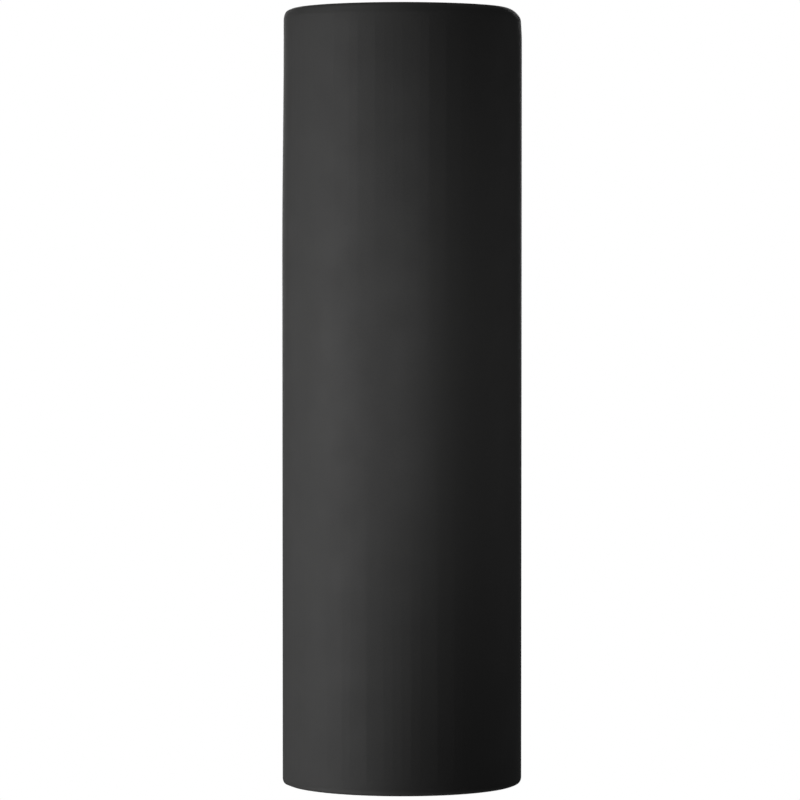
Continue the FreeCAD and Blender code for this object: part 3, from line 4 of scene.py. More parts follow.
import bmesh
import bpy
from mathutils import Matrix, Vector


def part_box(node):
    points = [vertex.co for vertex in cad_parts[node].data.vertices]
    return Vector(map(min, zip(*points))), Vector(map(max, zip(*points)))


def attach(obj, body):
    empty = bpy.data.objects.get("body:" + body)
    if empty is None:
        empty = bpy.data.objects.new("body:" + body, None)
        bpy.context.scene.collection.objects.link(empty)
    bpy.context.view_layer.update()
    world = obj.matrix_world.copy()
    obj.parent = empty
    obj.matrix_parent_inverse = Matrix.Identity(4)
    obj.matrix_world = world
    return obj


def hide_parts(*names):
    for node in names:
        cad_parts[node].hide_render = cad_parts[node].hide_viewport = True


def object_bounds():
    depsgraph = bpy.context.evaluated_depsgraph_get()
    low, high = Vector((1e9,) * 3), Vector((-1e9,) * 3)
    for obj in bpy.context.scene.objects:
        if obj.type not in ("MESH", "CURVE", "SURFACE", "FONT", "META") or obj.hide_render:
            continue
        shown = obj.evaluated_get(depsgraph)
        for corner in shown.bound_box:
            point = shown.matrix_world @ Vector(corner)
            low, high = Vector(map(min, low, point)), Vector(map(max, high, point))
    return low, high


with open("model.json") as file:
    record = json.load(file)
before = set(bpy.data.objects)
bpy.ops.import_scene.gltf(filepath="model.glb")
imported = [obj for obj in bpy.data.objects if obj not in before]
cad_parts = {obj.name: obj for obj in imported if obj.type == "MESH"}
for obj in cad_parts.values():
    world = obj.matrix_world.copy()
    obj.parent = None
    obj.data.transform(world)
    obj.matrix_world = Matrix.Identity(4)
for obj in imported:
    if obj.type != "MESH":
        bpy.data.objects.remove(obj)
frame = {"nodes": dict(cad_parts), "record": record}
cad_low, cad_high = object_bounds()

# This script dresses the tube wall light: its camera and studio, a material for each finish, the
# tube as it came from the kiln, the foam strips on the tube's back edges, and a floor.
# Lengths are in metres. X runs to the right, Y away from the camera to the wall, and Z up.

MM = 0.001

# The tube. The part's box ends at its front and at its top.
TUBE_RADIUS = 66.675 * MM
TUBE_WALL = 8.0 * MM
TUBE_HALF = cad_high.z  # half its height
TUBE_AXIS_Y = cad_low.y + TUBE_RADIUS
TUBE_AXIS = (0, TUBE_AXIS_Y, 0)

# Both lamps and both holders stand on one upright axis.
globe_low, globe_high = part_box("upper_lamp_globe")
LAMP_AXIS = (0, (globe_low.y + globe_high.y) / 2, 0)
THREAD_PITCH = 3.63 * MM


# -------------------------------------------------------------------------------------------------
# Small tools
# -------------------------------------------------------------------------------------------------


def between(low, value, high):
    """A value, kept from passing either end of a range."""
    return max(low, min(value, high))


def near(across, up, reach):
    """1 at a place, falling softly to almost 0 at twice the reach from it."""
    return math.exp(-(across * across + up * up) / (reach * reach))


def set_up(name, data):
    """Puts a camera, a light or a mesh into the scene as an object at the origin."""
    thing = bpy.data.objects.new(name, data)
    bpy.context.scene.collection.objects.link(thing)
    return thing


def mesh_from(name, shape):
    """Turns a finished bmesh into a mesh."""
    data = bpy.data.meshes.new(name)
    shape.to_mesh(data)
    shape.free()
    return data


def aim(thing, target):
    """Points a camera or a light at a place."""
    thing.rotation_mode = "QUATERNION"
    thing.rotation_quaternion = (Vector(target) - thing.location).to_track_quat("-Z", "Y")


# -------------------------------------------------------------------------------------------------
# Camera and studio
# -------------------------------------------------------------------------------------------------

# A long lens, square on to the tube and a little above its middle, looking down at it by under
# two degrees.
CAMERA_PLACE = (-0.0011, TUBE_AXIS_Y - 2.1866, 0.068)
CAMERA_TARGET = (-0.0011, TUBE_AXIS_Y, -0.00131)
FOCAL_PIXELS = 3923
FRAME_PIXELS = 800
SENSOR_MILLIMETRES = 36
SEEN_FROM, SEEN_TO = 0.05, 50

# A softbox looks at the tube's axis, level with itself, but no further than this from its middle.
AIM_REACH = 0.05

# Each softbox: azimuth, height, distance, (width, height), watts, spread. The spread and the
# azimuth are in degrees. Azimuth 0 is in front of the tube, and it grows to the camera's right.
SOFTBOXES = {
    # The main light, broad and gridded: the slow fall from the left side to the right.
    "left_softbox": (-65, -0.02, 1.4, (1.3, 0.6), 2.08, 70),
    # Light for the two rims on the left.
    "high_left_softbox": (-80, 1.0, 0.6, (0.6, 0.4), 2.06, 180),
    "low_left_softbox": (-80, -0.7, 0.41, (0.41, 0.27), 1.34, 180),
    # Faint gridded fills: the middle, and the last few degrees of either side.
    "front_softbox": (0, 0.03, 1.0, (0.4, 0.25), 0.102, 30),
    "left_back_softbox": (-120, -0.02, 1.6, (0.6, 0.6), 0.079, 30),
    "right_back_softbox": (105, 0.08, 1.6, (0.5, 0.5), 0.021, 30),
    # Light for the back, which the camera of the photograph doesn't see.
    "wall_side_softbox": (180, 0.35, 1.6, (1.2, 0.8), 11.0, 180),
}


def place_camera():
    """The camera, with the focal length given in pixels of the square picture."""
    lens = bpy.data.cameras.new("camera")
    lens.sensor_width = SENSOR_MILLIMETRES
    lens.lens = SENSOR_MILLIMETRES * FOCAL_PIXELS / FRAME_PIXELS
    lens.clip_start, lens.clip_end = SEEN_FROM, SEEN_TO
    camera = set_up("camera", lens)
    camera.location = CAMERA_PLACE
    aim(camera, CAMERA_TARGET)
    bpy.context.scene.camera = camera


def softbox(name, azimuth, height, distance, size, watts, spread):
    """A soft rectangular light. A spread under 180 is a grid over it, which narrows its beam."""
    lamp = bpy.data.lights.new(name, "AREA")
    lamp.shape = "RECTANGLE"
    lamp.size, lamp.size_y = size
    lamp.energy = watts
    lamp.spread = math.radians(spread)
    box = set_up(name, lamp)
    turn = math.radians(azimuth)
    box.location = (distance * math.sin(turn), TUBE_AXIS_Y - distance * math.cos(turn), height)
    aim(box, (0, TUBE_AXIS_Y, between(-AIM_REACH, height, AIM_REACH)))
    box.visible_camera = False


place_camera()
for name, settings in SOFTBOXES.items():
    softbox(name, *settings)
bpy.context.scene.view_settings.view_transform = "Standard"


# -------------------------------------------------------------------------------------------------
# Tools for materials
# -------------------------------------------------------------------------------------------------

# What a noise mostly stays between. Patterns of sheen are stretched from this span.
NOISE_SPAN = {"From Min": 0.3, "From Max": 0.7}

LEVEL = (1, 1, 0)  # times a vector, this leaves its level part


def linear(code):
    """The linear colour of an sRGB hex value, by the numbers of the sRGB standard."""
    shown = [int(code[n : n + 2], 16) / 255 for n in (0, 2, 4)]
    return [c / 12.92 if c <= 0.04045 else ((c + 0.055) / 1.055) ** 2.4 for c in shown] + [1.0]


def add(tree, kind, inputs=None, **settings):
    """Adds a node with its settings and links. Inputs go by name, or by number where names repeat.
    Each is a number, a hex colour, a node or a node's output."""
    node = tree.nodes.new("ShaderNode" + kind)
    for name, value in settings.items():
        setattr(node, name, value)
    for name, value in (inputs or {}).items():
        named = [socket for socket in node.inputs if socket.enabled and socket.name == name]
        socket = named[0] if named else node.inputs[name]
        if isinstance(value, bpy.types.Node):
            value = next(output for output in value.outputs if output.enabled)
        if isinstance(value, bpy.types.NodeSocket):
            tree.links.new(value, socket)
        else:
            socket.default_value = linear(value) if isinstance(value, str) else value
    return node


def new_material(name):
    """A material, its empty tree, and the place on the object that its patterns follow."""
    material = bpy.data.materials.new(name)
    material.use_nodes = True
    material.node_tree.nodes.clear()
    place = add(material.node_tree, "TexCoord").outputs["Object"]
    return material, material.node_tree, place


def every(millimetres):
    """The scale that repeats a pattern every so many millimetres."""
    return 1 / (millimetres * MM)


# -------------------------------------------------------------------------------------------------
# Ceramic and glass
# -------------------------------------------------------------------------------------------------


def matte_black_glaze():
    """Matte black glaze, sprayed on a slip-cast stoneware tube. The eye sees an even, soft black
    with a fine dry grain, a few pinholes and a slow waviness from the mould, a little browner
    where the glaze thins on the rims, and pale bare clay inside, past a soft sprayed edge."""
    material, tree, place = new_material("matte_black_glaze_on_stoneware")

    parts = add(tree, "SeparateXYZ", {"Vector": place}).outputs
    from_axis = add(tree, "VectorMath", {0: place, 1: TUBE_AXIS}, operation="SUBTRACT")
    flat = add(tree, "VectorMath", {0: from_axis, 1: LEVEL}, operation="MULTIPLY")
    radius = add(tree, "VectorMath", {0: flat}, operation="LENGTH")
    height = add(tree, "Math", {0: parts["Z"]}, operation="ABSOLUTE")

    # There is glaze a little way into both mouths, as far as a ragged edge of spray.
    ragged_by, spray_end, spray_full = 14 * MM, TUBE_HALF - 22 * MM, TUBE_HALF - 7 * MM
    droplets = {"Vector": place, "Scale": every(9), "Detail": 5.0, "Roughness": 0.62}
    spray = add(tree, "TexNoise", droplets)
    ragged = add(tree, "Math", {0: spray, 1: ragged_by, 2: height}, operation="MULTIPLY_ADD")
    mouths = {"Value": ragged, "From Min": spray_end, "From Max": spray_full}
    mouths = add(tree, "MapRange", mouths, interpolation_type="SMOOTHSTEP")

    # There is glaze all over the outside, from a little past the middle of the wall outwards.
    inner, outer = TUBE_RADIUS - 0.62 * TUBE_WALL, TUBE_RADIUS - 0.56 * TUBE_WALL
    outside = add(tree, "MapRange", {"Value": radius, "From Min": inner, "From Max": outer})
    covered = add(tree, "Math", {0: outside, 1: mouths}, operation="MAXIMUM")

    # There is none on the back edges, which are ground flat for the wall.
    ground, unground = -1.8 * MM, -2.6 * MM
    off = {"Value": parts["Y"], "From Min": ground, "From Max": unground}
    off = add(tree, "MapRange", off)
    glazed = add(tree, "Math", {0: covered, 1: off}, operation="MULTIPLY")

    # The black: slow clouds, a dry bloom in its grain, and a warmer tone where it has run thin on
    # the rims.
    cloud = add(tree, "TexNoise", {"Vector": place, "Scale": every(48), "Detail": 3.0})
    black = add(tree, "Mix", {"Factor": cloud, "A": "2e2e2e", "B": "333332"}, data_type="RGBA")
    # Real grain is about 0.2 mm. It is drawn at 0.9 mm so that it shows from two metres away.
    grain = {"Vector": place, "Scale": every(0.9), "Detail": 3.0, "Roughness": 0.6}
    dry = add(tree, "TexNoise", grain)
    bloom = {"Value": dry, "From Min": 0.35, "From Max": 0.75, "To Max": 0.5}
    bloom = add(tree, "MapRange", bloom)
    black = add(tree, "Mix", {"Factor": bloom, "A": black, "B": "383736"}, data_type="RGBA")
    below_rim, at_rim = TUBE_HALF - 2.6 * MM, TUBE_HALF - 0.4 * MM
    thin = {"Value": height, "From Min": below_rim, "From Max": at_rim, "To Max": 0.3}
    thin = add(tree, "MapRange", thin)
    black = add(tree, "Mix", {"Factor": thin, "A": black, "B": "3a3632"}, data_type="RGBA")

    # The bare clay: buff clouds with small iron specks.
    clouds = add(tree, "TexNoise", {"Vector": place, "Scale": every(14), "Detail": 4.0})
    clay = add(tree, "Mix", {"Factor": clouds, "A": "cfc5b6", "B": "bdb09f"}, data_type="RGBA")
    iron = add(tree, "TexNoise", {"Vector": place, "Scale": every(1.3), "Detail": 1.0})
    specks = {"Value": iron, "From Min": 0.68, "From Max": 0.74, "To Max": 0.5}
    specks = add(tree, "MapRange", specks)
    clay = add(tree, "Mix", {"Factor": specks, "A": clay, "B": "8d7a66"}, data_type="RGBA")
    colour = add(tree, "Mix", {"Factor": glazed, "A": clay, "B": black}, data_type="RGBA")

    # Satin drifts in the glaze, and clay that is fully dull.
    drift = add(tree, "TexNoise", {"Vector": place, "Scale": every(22), "Detail": 2.0})
    satin = add(tree, "MapRange", {"Value": drift, **NOISE_SPAN, "To Min": 0.62, "To Max": 0.68})
    rough = add(tree, "Mix", {"Factor": glazed, "A": 0.93, "B": satin}, data_type="FLOAT")

    # Relief: mould waviness of 0.3 mm, grain of 0.03 mm and pinholes of 0.06 mm.
    wave = add(tree, "TexNoise", {"Vector": place, "Scale": every(60), "Detail": 1.0})
    relief = add(tree, "Bump", {"Height": wave, "Distance": 0.3 * MM})
    relief = add(tree, "Bump", {"Height": dry, "Distance": 0.03 * MM, "Normal": relief})
    cells = add(tree, "TexVoronoi", {"Vector": place, "Scale": every(7)})
    pinholes = add(tree, "MapRange", {"Value": cells, "From Min": 0.02, "From Max": 0.06})
    relief = add(tree, "Bump", {"Height": pinholes, "Distance": 0.06 * MM, "Normal": relief})

    looks = {"Base Color": colour, "Roughness": rough, "IOR": 1.5, "Normal": relief}
    add(tree, "OutputMaterial", {"Surface": add(tree, "BsdfPrincipled", looks)})
    return material


def glazed_porcelain():
    """White electrical porcelain, pressed, glazed and fired. The eye sees a glassy, slightly
    creamy white with a gentle ripple and a few iron specks."""
    material, tree, place = new_material("glazed_porcelain")
    cream = add(tree, "TexNoise", {"Vector": place, "Scale": every(20), "Detail": 2.0})
    colour = add(tree, "Mix", {"Factor": cream, "A": "e9e4d9", "B": "f1eee6"}, data_type="RGBA")
    iron = add(tree, "TexNoise", {"Vector": place, "Scale": every(1.6), "Detail": 0.0})
    specks = {"Value": iron, "From Min": 0.76, "From Max": 0.8, "To Max": 0.55}
    specks = add(tree, "MapRange", specks)
    colour = add(tree, "Mix", {"Factor": specks, "A": colour, "B": "6b5d4e"}, data_type="RGBA")
    ripple = add(tree, "TexNoise", {"Vector": place, "Scale": every(7), "Detail": 1.0})
    relief = add(tree, "Bump", {"Height": ripple, "Distance": 0.05 * MM})
    looks = {"Base Color": colour, "Roughness": 0.14, "IOR": 1.52, "Normal": relief}
    looks |= {"Coat Weight": 0.6, "Coat Roughness": 0.05}
    add(tree, "OutputMaterial", {"Surface": add(tree, "BsdfPrincipled", looks)})
    return material


def fused_glass():
    """Black glass, fused into a lamp's base. The eye sees a deep gloss black with a purple cast
    and small bubbles."""
    material, tree, place = new_material("fused_glass_insulator")
    froth = add(tree, "TexNoise", {"Vector": place, "Scale": every(0.9), "Detail": 1.0})
    bubbles = add(tree, "MapRange", {"Value": froth, "From Min": 0.6, "From Max": 0.75})
    colour = add(tree, "Mix", {"Factor": bubbles, "A": "141016", "B": "2a2430"}, data_type="RGBA")
    relief = add(tree, "Bump", {"Height": bubbles, "Distance": 0.02 * MM})
    looks = {"Base Color": colour, "Roughness": 0.12, "IOR": 1.55, "Normal": relief}
    add(tree, "OutputMaterial", {"Surface": add(tree, "BsdfPrincipled", looks)})
    return material


# -------------------------------------------------------------------------------------------------
# Metals and painted steel
# -------------------------------------------------------------------------------------------------


def zinc_plate():
    """Bright zinc plating on pressed steel. The eye sees a cool grey metal with faint blue and
    straw clouds, rolling marks that run from side to side, and small handling scuffs."""
    material, tree, place = new_material("zinc_plated_steel")
    iridescence = {"Vector": place, "Scale": every(16), "Detail": 3.0, "Distortion": 0.6}
    cloud = add(tree, "TexNoise", iridescence)
    tint = add(tree, "MapRange", {"Value": cloud, "From Min": 0.32, "From Max": 0.68})
    colour = add(tree, "Mix", {"Factor": tint, "A": "a9b0ba", "B": "c3c0b2"}, data_type="RGBA")
    # Real rolling marks are under 0.1 mm apart. They are drawn at 0.35 mm so that they show.
    sideways = add(tree, "Mapping", {"Vector": place, "Scale": (0.06, 1, 1)})
    rolled = add(tree, "TexNoise", {"Vector": sideways, "Scale": every(0.35), "Detail": 2.0})
    scuffs = {"Vector": place, "Scale": every(2.4), "Detail": 5.0, "Roughness": 0.7}
    scuffs = add(tree, "TexNoise", scuffs)
    rough = {"Value": scuffs, "From Min": 0.5, "From Max": 0.72, "To Min": 0.3, "To Max": 0.52}
    rough = add(tree, "MapRange", rough)
    relief = add(tree, "Bump", {"Height": rolled, "Distance": 0.01 * MM})
    looks = {"Base Color": colour, "Metallic": 1.0, "Roughness": rough, "Normal": relief}
    add(tree, "OutputMaterial", {"Surface": add(tree, "BsdfPrincipled", looks)})
    return material


def nickel_plate():
    """Satin nickel plating on turned steel. The eye sees a slightly warm silver with fine turning
    marks."""
    material, tree, place = new_material("nickel_plated_steel")
    cloud = add(tree, "TexNoise", {"Vector": place, "Scale": every(5), "Detail": 3.0})
    colour = add(tree, "Mix", {"Factor": cloud, "A": "b9b2a6", "B": "cbc5ba"}, data_type="RGBA")
    across = add(tree, "Mapping", {"Vector": place, "Scale": (1, 8, 1)})
    turned = add(tree, "TexNoise", {"Vector": across, "Scale": every(1.2), "Detail": 2.0})
    relief = add(tree, "Bump", {"Height": turned, "Distance": 0.006 * MM})
    rough = add(tree, "MapRange", {"Value": turned, **NOISE_SPAN, "To Min": 0.2, "To Max": 0.32})
    looks = {"Base Color": colour, "Metallic": 1.0, "Roughness": rough, "Normal": relief}
    add(tree, "OutputMaterial", {"Surface": add(tree, "BsdfPrincipled", looks)})
    return material


def turned_brass():
    """Plain turned brass. The eye sees a clean yellow metal, browner where hands and heat have
    dulled it."""
    material, tree, place = new_material("turned_brass")
    tarnish = {"Vector": place, "Scale": every(2.6), "Detail": 5.0, "Roughness": 0.6}
    tarnish = add(tree, "TexNoise", tarnish)
    dulled = add(tree, "MapRange", {"Value": tarnish, "From Min": 0.42, "From Max": 0.72})
    colour = add(tree, "Mix", {"Factor": dulled, "A": "cfae66", "B": "9c7b3e"}, data_type="RGBA")
    rough = add(tree, "MapRange", {"Value": dulled, "To Min": 0.2, "To Max": 0.42})
    marks = add(tree, "TexNoise", {"Vector": place, "Scale": every(0.3)})
    relief = add(tree, "Bump", {"Height": marks, "Distance": 0.004 * MM})
    looks = {"Base Color": colour, "Metallic": 1.0, "Roughness": rough, "Normal": relief}
    add(tree, "OutputMaterial", {"Surface": add(tree, "BsdfPrincipled", looks)})
    return material


def nickel_on_brass():
    """Nickel-plated brass, rolled or turned. The eye sees a bright warm silver with soft upright
    scratches."""
    material, tree, place = new_material("nickel_plated_brass")
    cloud = add(tree, "TexNoise", {"Vector": place, "Scale": every(4), "Detail": 4.0})
    colour = add(tree, "Mix", {"Factor": cloud, "A": "bdb6a6", "B": "d4cfc2"}, data_type="RGBA")
    upright = add(tree, "Mapping", {"Vector": place, "Scale": (1, 1, 0.12)})
    scratches = add(tree, "TexNoise", {"Vector": upright, "Scale": every(0.4), "Detail": 3.0})
    relief = add(tree, "Bump", {"Height": scratches, "Distance": 0.005 * MM})
    rough = {"Value": scratches, "From Min": 0.35, "From Max": 0.65, "To Min": 0.16, "To Max": 0.3}
    rough = add(tree, "MapRange", rough)
    looks = {"Base Color": colour, "Metallic": 1.0, "Roughness": rough, "Normal": relief}
    add(tree, "OutputMaterial", {"Surface": add(tree, "BsdfPrincipled", looks)})
    return material


def rolled_screw_shell():
    """Nickel-plated brass strip, rolled with a rounded thread. The eye sees warm silver with a
    soft spiral groove."""
    material, tree, place = new_material("rolled_screw_shell")
    cloud = add(tree, "TexNoise", {"Vector": place, "Scale": every(4), "Detail": 4.0})
    colour = add(tree, "Mix", {"Factor": cloud, "A": "b6ad9a", "B": "cdc5b4"}, data_type="RGBA")
    # One turn of the groove for each pitch: the height and the angle round the lamp's axis, added.
    from_axis = add(tree, "VectorMath", {0: place, 1: LAMP_AXIS}, operation="SUBTRACT")
    parts = add(tree, "SeparateXYZ", {"Vector": from_axis}).outputs
    turn = add(tree, "Math", {0: parts["Y"], 1: parts["X"]}, operation="ARCTAN2")
    climb = {0: parts["Z"], 1: 2 * math.pi / THREAD_PITCH, 2: turn}
    climb = add(tree, "Math", climb, operation="MULTIPLY_ADD")
    groove = add(tree, "Math", {0: climb}, operation="SINE")
    relief = add(tree, "Bump", {"Height": groove, "Distance": 0.35 * MM})
    rough = {"Value": cloud, "From Min": 0.35, "From Max": 0.65, "To Min": 0.2, "To Max": 0.34}
    rough = add(tree, "MapRange", rough)
    looks = {"Base Color": colour, "Metallic": 1.0, "Roughness": rough, "Normal": relief}
    add(tree, "OutputMaterial", {"Surface": add(tree, "BsdfPrincipled", looks)})
    return material


def white_powder_coat():
    """White polyester powder coat, baked on folded steel. The eye sees a warm satin white with a
    faint orange peel."""
    material, tree, place = new_material("white_powder_coat")
    cloud = add(tree, "TexNoise", {"Vector": place, "Scale": every(30), "Detail": 2.0})
    colour = add(tree, "Mix", {"Factor": cloud, "A": "dedcd6", "B": "e9e7e2"}, data_type="RGBA")
    sheen = add(tree, "TexNoise", {"Vector": place, "Scale": every(6), "Detail": 2.0})
    peel = add(tree, "TexNoise", {"Vector": place, "Scale": every(1.4), "Detail": 1.0})
    relief = add(tree, "Bump", {"Height": peel, "Distance": 0.03 * MM})
    rough = add(tree, "MapRange", {"Value": sheen, **NOISE_SPAN, "To Min": 0.36, "To Max": 0.48})
    looks = {"Base Color": colour, "Roughness": rough, "IOR": 1.5, "Normal": relief}
    add(tree, "OutputMaterial", {"Surface": add(tree, "BsdfPrincipled", looks)})
    return material


# -------------------------------------------------------------------------------------------------
# Plastics, rubber and foam
# -------------------------------------------------------------------------------------------------


def closed_cell_foam():
    """Die-cut closed-cell foam. The eye sees a dull near-black with open, cut cells and a slightly
    uneven face, with painted shade darkening the pit of each cell."""
    material, tree, place = new_material("closed_cell_foam")
    # Real cells are about 0.3 mm. They are drawn at 0.7 mm so that they show.
    cells = add(tree, "TexVoronoi", {"Vector": place, "Scale": every(0.7)})
    # Painted shade: the colour is darker towards the middle of each cell, where its pit is.
    colour = add(tree, "Mix", {"Factor": cells, "A": "131314", "B": "2c2c2d"}, data_type="RGBA")
    relief = add(tree, "Bump", {"Height": cells, "Distance": 0.12 * MM})
    looks = {"Base Color": colour, "Roughness": 0.96, "IOR": 1.45, "Normal": relief}
    add(tree, "OutputMaterial", {"Surface": add(tree, "BsdfPrincipled", looks)})
    return material


def moulded_rubber():
    """Moulded nitrile rubber. The eye sees a soft charcoal with a dusty bloom in places."""
    material, tree, place = new_material("moulded_rubber")
    dust = add(tree, "TexNoise", {"Vector": place, "Scale": every(3), "Detail": 4.0})
    bloom = add(tree, "MapRange", {"Value": dust, "From Min": 0.4, "From Max": 0.75})
    colour = add(tree, "Mix", {"Factor": bloom, "A": "1b1b1c", "B": "3a3938"}, data_type="RGBA")
    rough = add(tree, "MapRange", {"Value": bloom, "To Min": 0.66, "To Max": 0.86})
    skin = add(tree, "TexNoise", {"Vector": place, "Scale": every(0.5)})
    relief = add(tree, "Bump", {"Height": skin, "Distance": 0.02 * MM})
    looks = {"Base Color": colour, "Roughness": rough, "IOR": 1.52, "Normal": relief}
    add(tree, "OutputMaterial", {"Surface": add(tree, "BsdfPrincipled", looks)})
    return material


def black_nylon():
    """Injection-moulded black nylon. The eye sees a satin black with a spark-eroded texture from
    the mould."""
    material, tree, place = new_material("black_nylon")
    drift = add(tree, "TexNoise", {"Vector": place, "Scale": every(8), "Detail": 3.0})
    colour = add(tree, "Mix", {"Factor": drift, "A": "141414", "B": "1f1f1f"}, data_type="RGBA")
    spark = add(tree, "TexNoise", {"Vector": place, "Scale": every(0.5), "Detail": 2.0})
    relief = add(tree, "Bump", {"Height": spark, "Distance": 0.015 * MM})
    rough = add(tree, "MapRange", {"Value": drift, **NOISE_SPAN, "To Min": 0.38, "To Max": 0.5})
    looks = {"Base Color": colour, "Roughness": rough, "IOR": 1.53, "Normal": relief}
    add(tree, "OutputMaterial", {"Surface": add(tree, "BsdfPrincipled", looks)})
    return material


def natural_nylon():
    """Injection-moulded natural nylon. The eye sees a waxy off-white that light sinks into,
    yellower in patches."""
    material, tree, place = new_material("natural_nylon")
    aged = add(tree, "TexNoise", {"Vector": place, "Scale": every(12), "Detail": 3.0})
    colour = add(tree, "Mix", {"Factor": aged, "A": "d9d3c0", "B": "e5e1d5"}, data_type="RGBA")
    skin = add(tree, "TexNoise", {"Vector": place, "Scale": every(0.6), "Detail": 2.0})
    relief = add(tree, "Bump", {"Height": skin, "Distance": 0.015 * MM})
    rough = add(tree, "MapRange", {"Value": aged, **NOISE_SPAN, "To Min": 0.4, "To Max": 0.52})
    looks = {"Base Color": colour, "Roughness": rough, "IOR": 1.53, "Normal": relief}
    looks |= {"Subsurface Weight": 0.25, "Subsurface Scale": 2 * MM}
    looks |= {"Subsurface Radius": (1.0, 0.85, 0.65)}
    add(tree, "OutputMaterial", {"Surface": add(tree, "BsdfPrincipled", looks)})
    return material


def lamp_housing_plastic():
    """Injection-moulded white polyester over a metal core. The eye sees a clean satin white with
    faint flow lines that run up from the cap."""
    material, tree, place = new_material("white_polyester_plastic")
    upright = add(tree, "Mapping", {"Vector": place, "Scale": (1, 1, 0.15)})
    flow = add(tree, "TexNoise", {"Vector": upright, "Scale": every(5), "Detail": 3.0})
    colour = add(tree, "Mix", {"Factor": flow, "A": "dddddb", "B": "e9e9e7"}, data_type="RGBA")
    skin = add(tree, "TexNoise", {"Vector": place, "Scale": every(0.4), "Detail": 2.0})
    relief = add(tree, "Bump", {"Height": skin, "Distance": 0.012 * MM})
    rough = add(tree, "MapRange", {"Value": flow, **NOISE_SPAN, "To Min": 0.32, "To Max": 0.44})
    looks = {"Base Color": colour, "Roughness": rough, "IOR": 1.55, "Normal": relief}
    add(tree, "OutputMaterial", {"Surface": add(tree, "BsdfPrincipled", looks)})
    return material


def opal_globe():
    """Blow-moulded opal polycarbonate. The eye sees a milky white that glows softly from within,
    with a smooth surface and a slight unevenness in its depth."""
    material, tree, place = new_material("opal_polycarbonate")
    depth = add(tree, "TexNoise", {"Vector": place, "Scale": every(18), "Detail": 2.0})
    colour = add(tree, "Mix", {"Factor": depth, "A": "efeee9", "B": "f6f5f1"}, data_type="RGBA")
    blown = add(tree, "TexNoise", {"Vector": place, "Scale": every(9), "Detail": 1.0})
    relief = add(tree, "Bump", {"Height": blown, "Distance": 0.02 * MM})
    rough = add(tree, "MapRange", {"Value": depth, **NOISE_SPAN, "To Min": 0.2, "To Max": 0.28})
    looks = {"Base Color": colour, "Roughness": rough, "IOR": 1.58, "Normal": relief}
    looks |= {"Subsurface Weight": 0.6, "Subsurface Scale": 3 * MM}
    looks |= {"Subsurface Radius": (1.0, 0.95, 0.9)}
    add(tree, "OutputMaterial", {"Surface": add(tree, "BsdfPrincipled", looks)})
    return material


def emitter_board():
    """A round aluminium board under white solder mask, with small yellow emitters. The eye sees a
    glossy white disc with rows of yellow squares, soft where the mask meets them."""
    material, tree, place = new_material("white_solder_mask")
    pool = add(tree, "TexNoise", {"Vector": place, "Scale": every(6), "Detail": 2.0})
    mask = add(tree, "Mix", {"Factor": pool, "A": "dcdedb", "B": "e7e9e6"}, data_type="RGBA")

    # Emitters of about 3 mm, in rows 8 mm apart that start from the lamp's axis.
    half_gap, bare_from, lit_to = 4 * MM, 1.6 * MM, 1.4 * MM
    from_axis = add(tree, "VectorMath", {0: place, 1: LAMP_AXIS}, operation="SUBTRACT")
    cell = {0: from_axis, 1: (half_gap, half_gap, 1), 2: (-half_gap, -half_gap, -1)}
    cell = add(tree, "VectorMath", cell, operation="WRAP")
    aside = add(tree, "VectorMath", {0: cell}, operation="ABSOLUTE")
    aside = add(tree, "SeparateXYZ", {"Vector": aside}).outputs
    far = add(tree, "Math", {0: aside["X"], 1: aside["Y"]}, operation="MAXIMUM")
    emitter = add(tree, "MapRange", {"Value": far, "From Min": bare_from, "From Max": lit_to})

    # None are so far out that the board's rim would cut them.
    farthest = 20.2 * MM
    flat = add(tree, "VectorMath", {0: from_axis, 1: LEVEL}, operation="MULTIPLY")
    radius = add(tree, "VectorMath", {0: flat}, operation="LENGTH")
    inside = add(tree, "Math", {0: radius, 1: farthest}, operation="LESS_THAN")
    emitter = add(tree, "Math", {0: emitter, 1: inside}, operation="MULTIPLY")

    colour = add(tree, "Mix", {"Factor": emitter, "A": mask, "B": "d9b83c"}, data_type="RGBA")
    relief = add(tree, "Bump", {"Height": emitter, "Distance": 0.4 * MM})
    rough = add(tree, "MapRange", {"Value": pool, **NOISE_SPAN, "To Min": 0.26, "To Max": 0.38})
    looks = {"Base Color": colour, "Roughness": rough, "IOR": 1.5, "Normal": relief}
    add(tree, "OutputMaterial", {"Surface": add(tree, "BsdfPrincipled", looks)})
    return material


def vinyl_sleeve(name, first, second):
    """Extruded vinyl insulation over fine copper strands. The eye sees a satin skin that drifts a
    little in tone, faintly uneven where the strands press through."""
    material, tree, place = new_material(name)
    drift = add(tree, "TexNoise", {"Vector": place, "Scale": every(10), "Detail": 3.0})
    colour = add(tree, "Mix", {"Factor": drift, "A": first, "B": second}, data_type="RGBA")
    strands = add(tree, "TexNoise", {"Vector": place, "Scale": every(0.7), "Detail": 2.0})
    relief = add(tree, "Bump", {"Height": strands, "Distance": 0.02 * MM})
    rough = add(tree, "MapRange", {"Value": drift, **NOISE_SPAN, "To Min": 0.36, "To Max": 0.5})
    looks = {"Base Color": colour, "Roughness": rough, "IOR": 1.53, "Normal": relief}
    add(tree, "OutputMaterial", {"Surface": add(tree, "BsdfPrincipled", looks)})
    return material


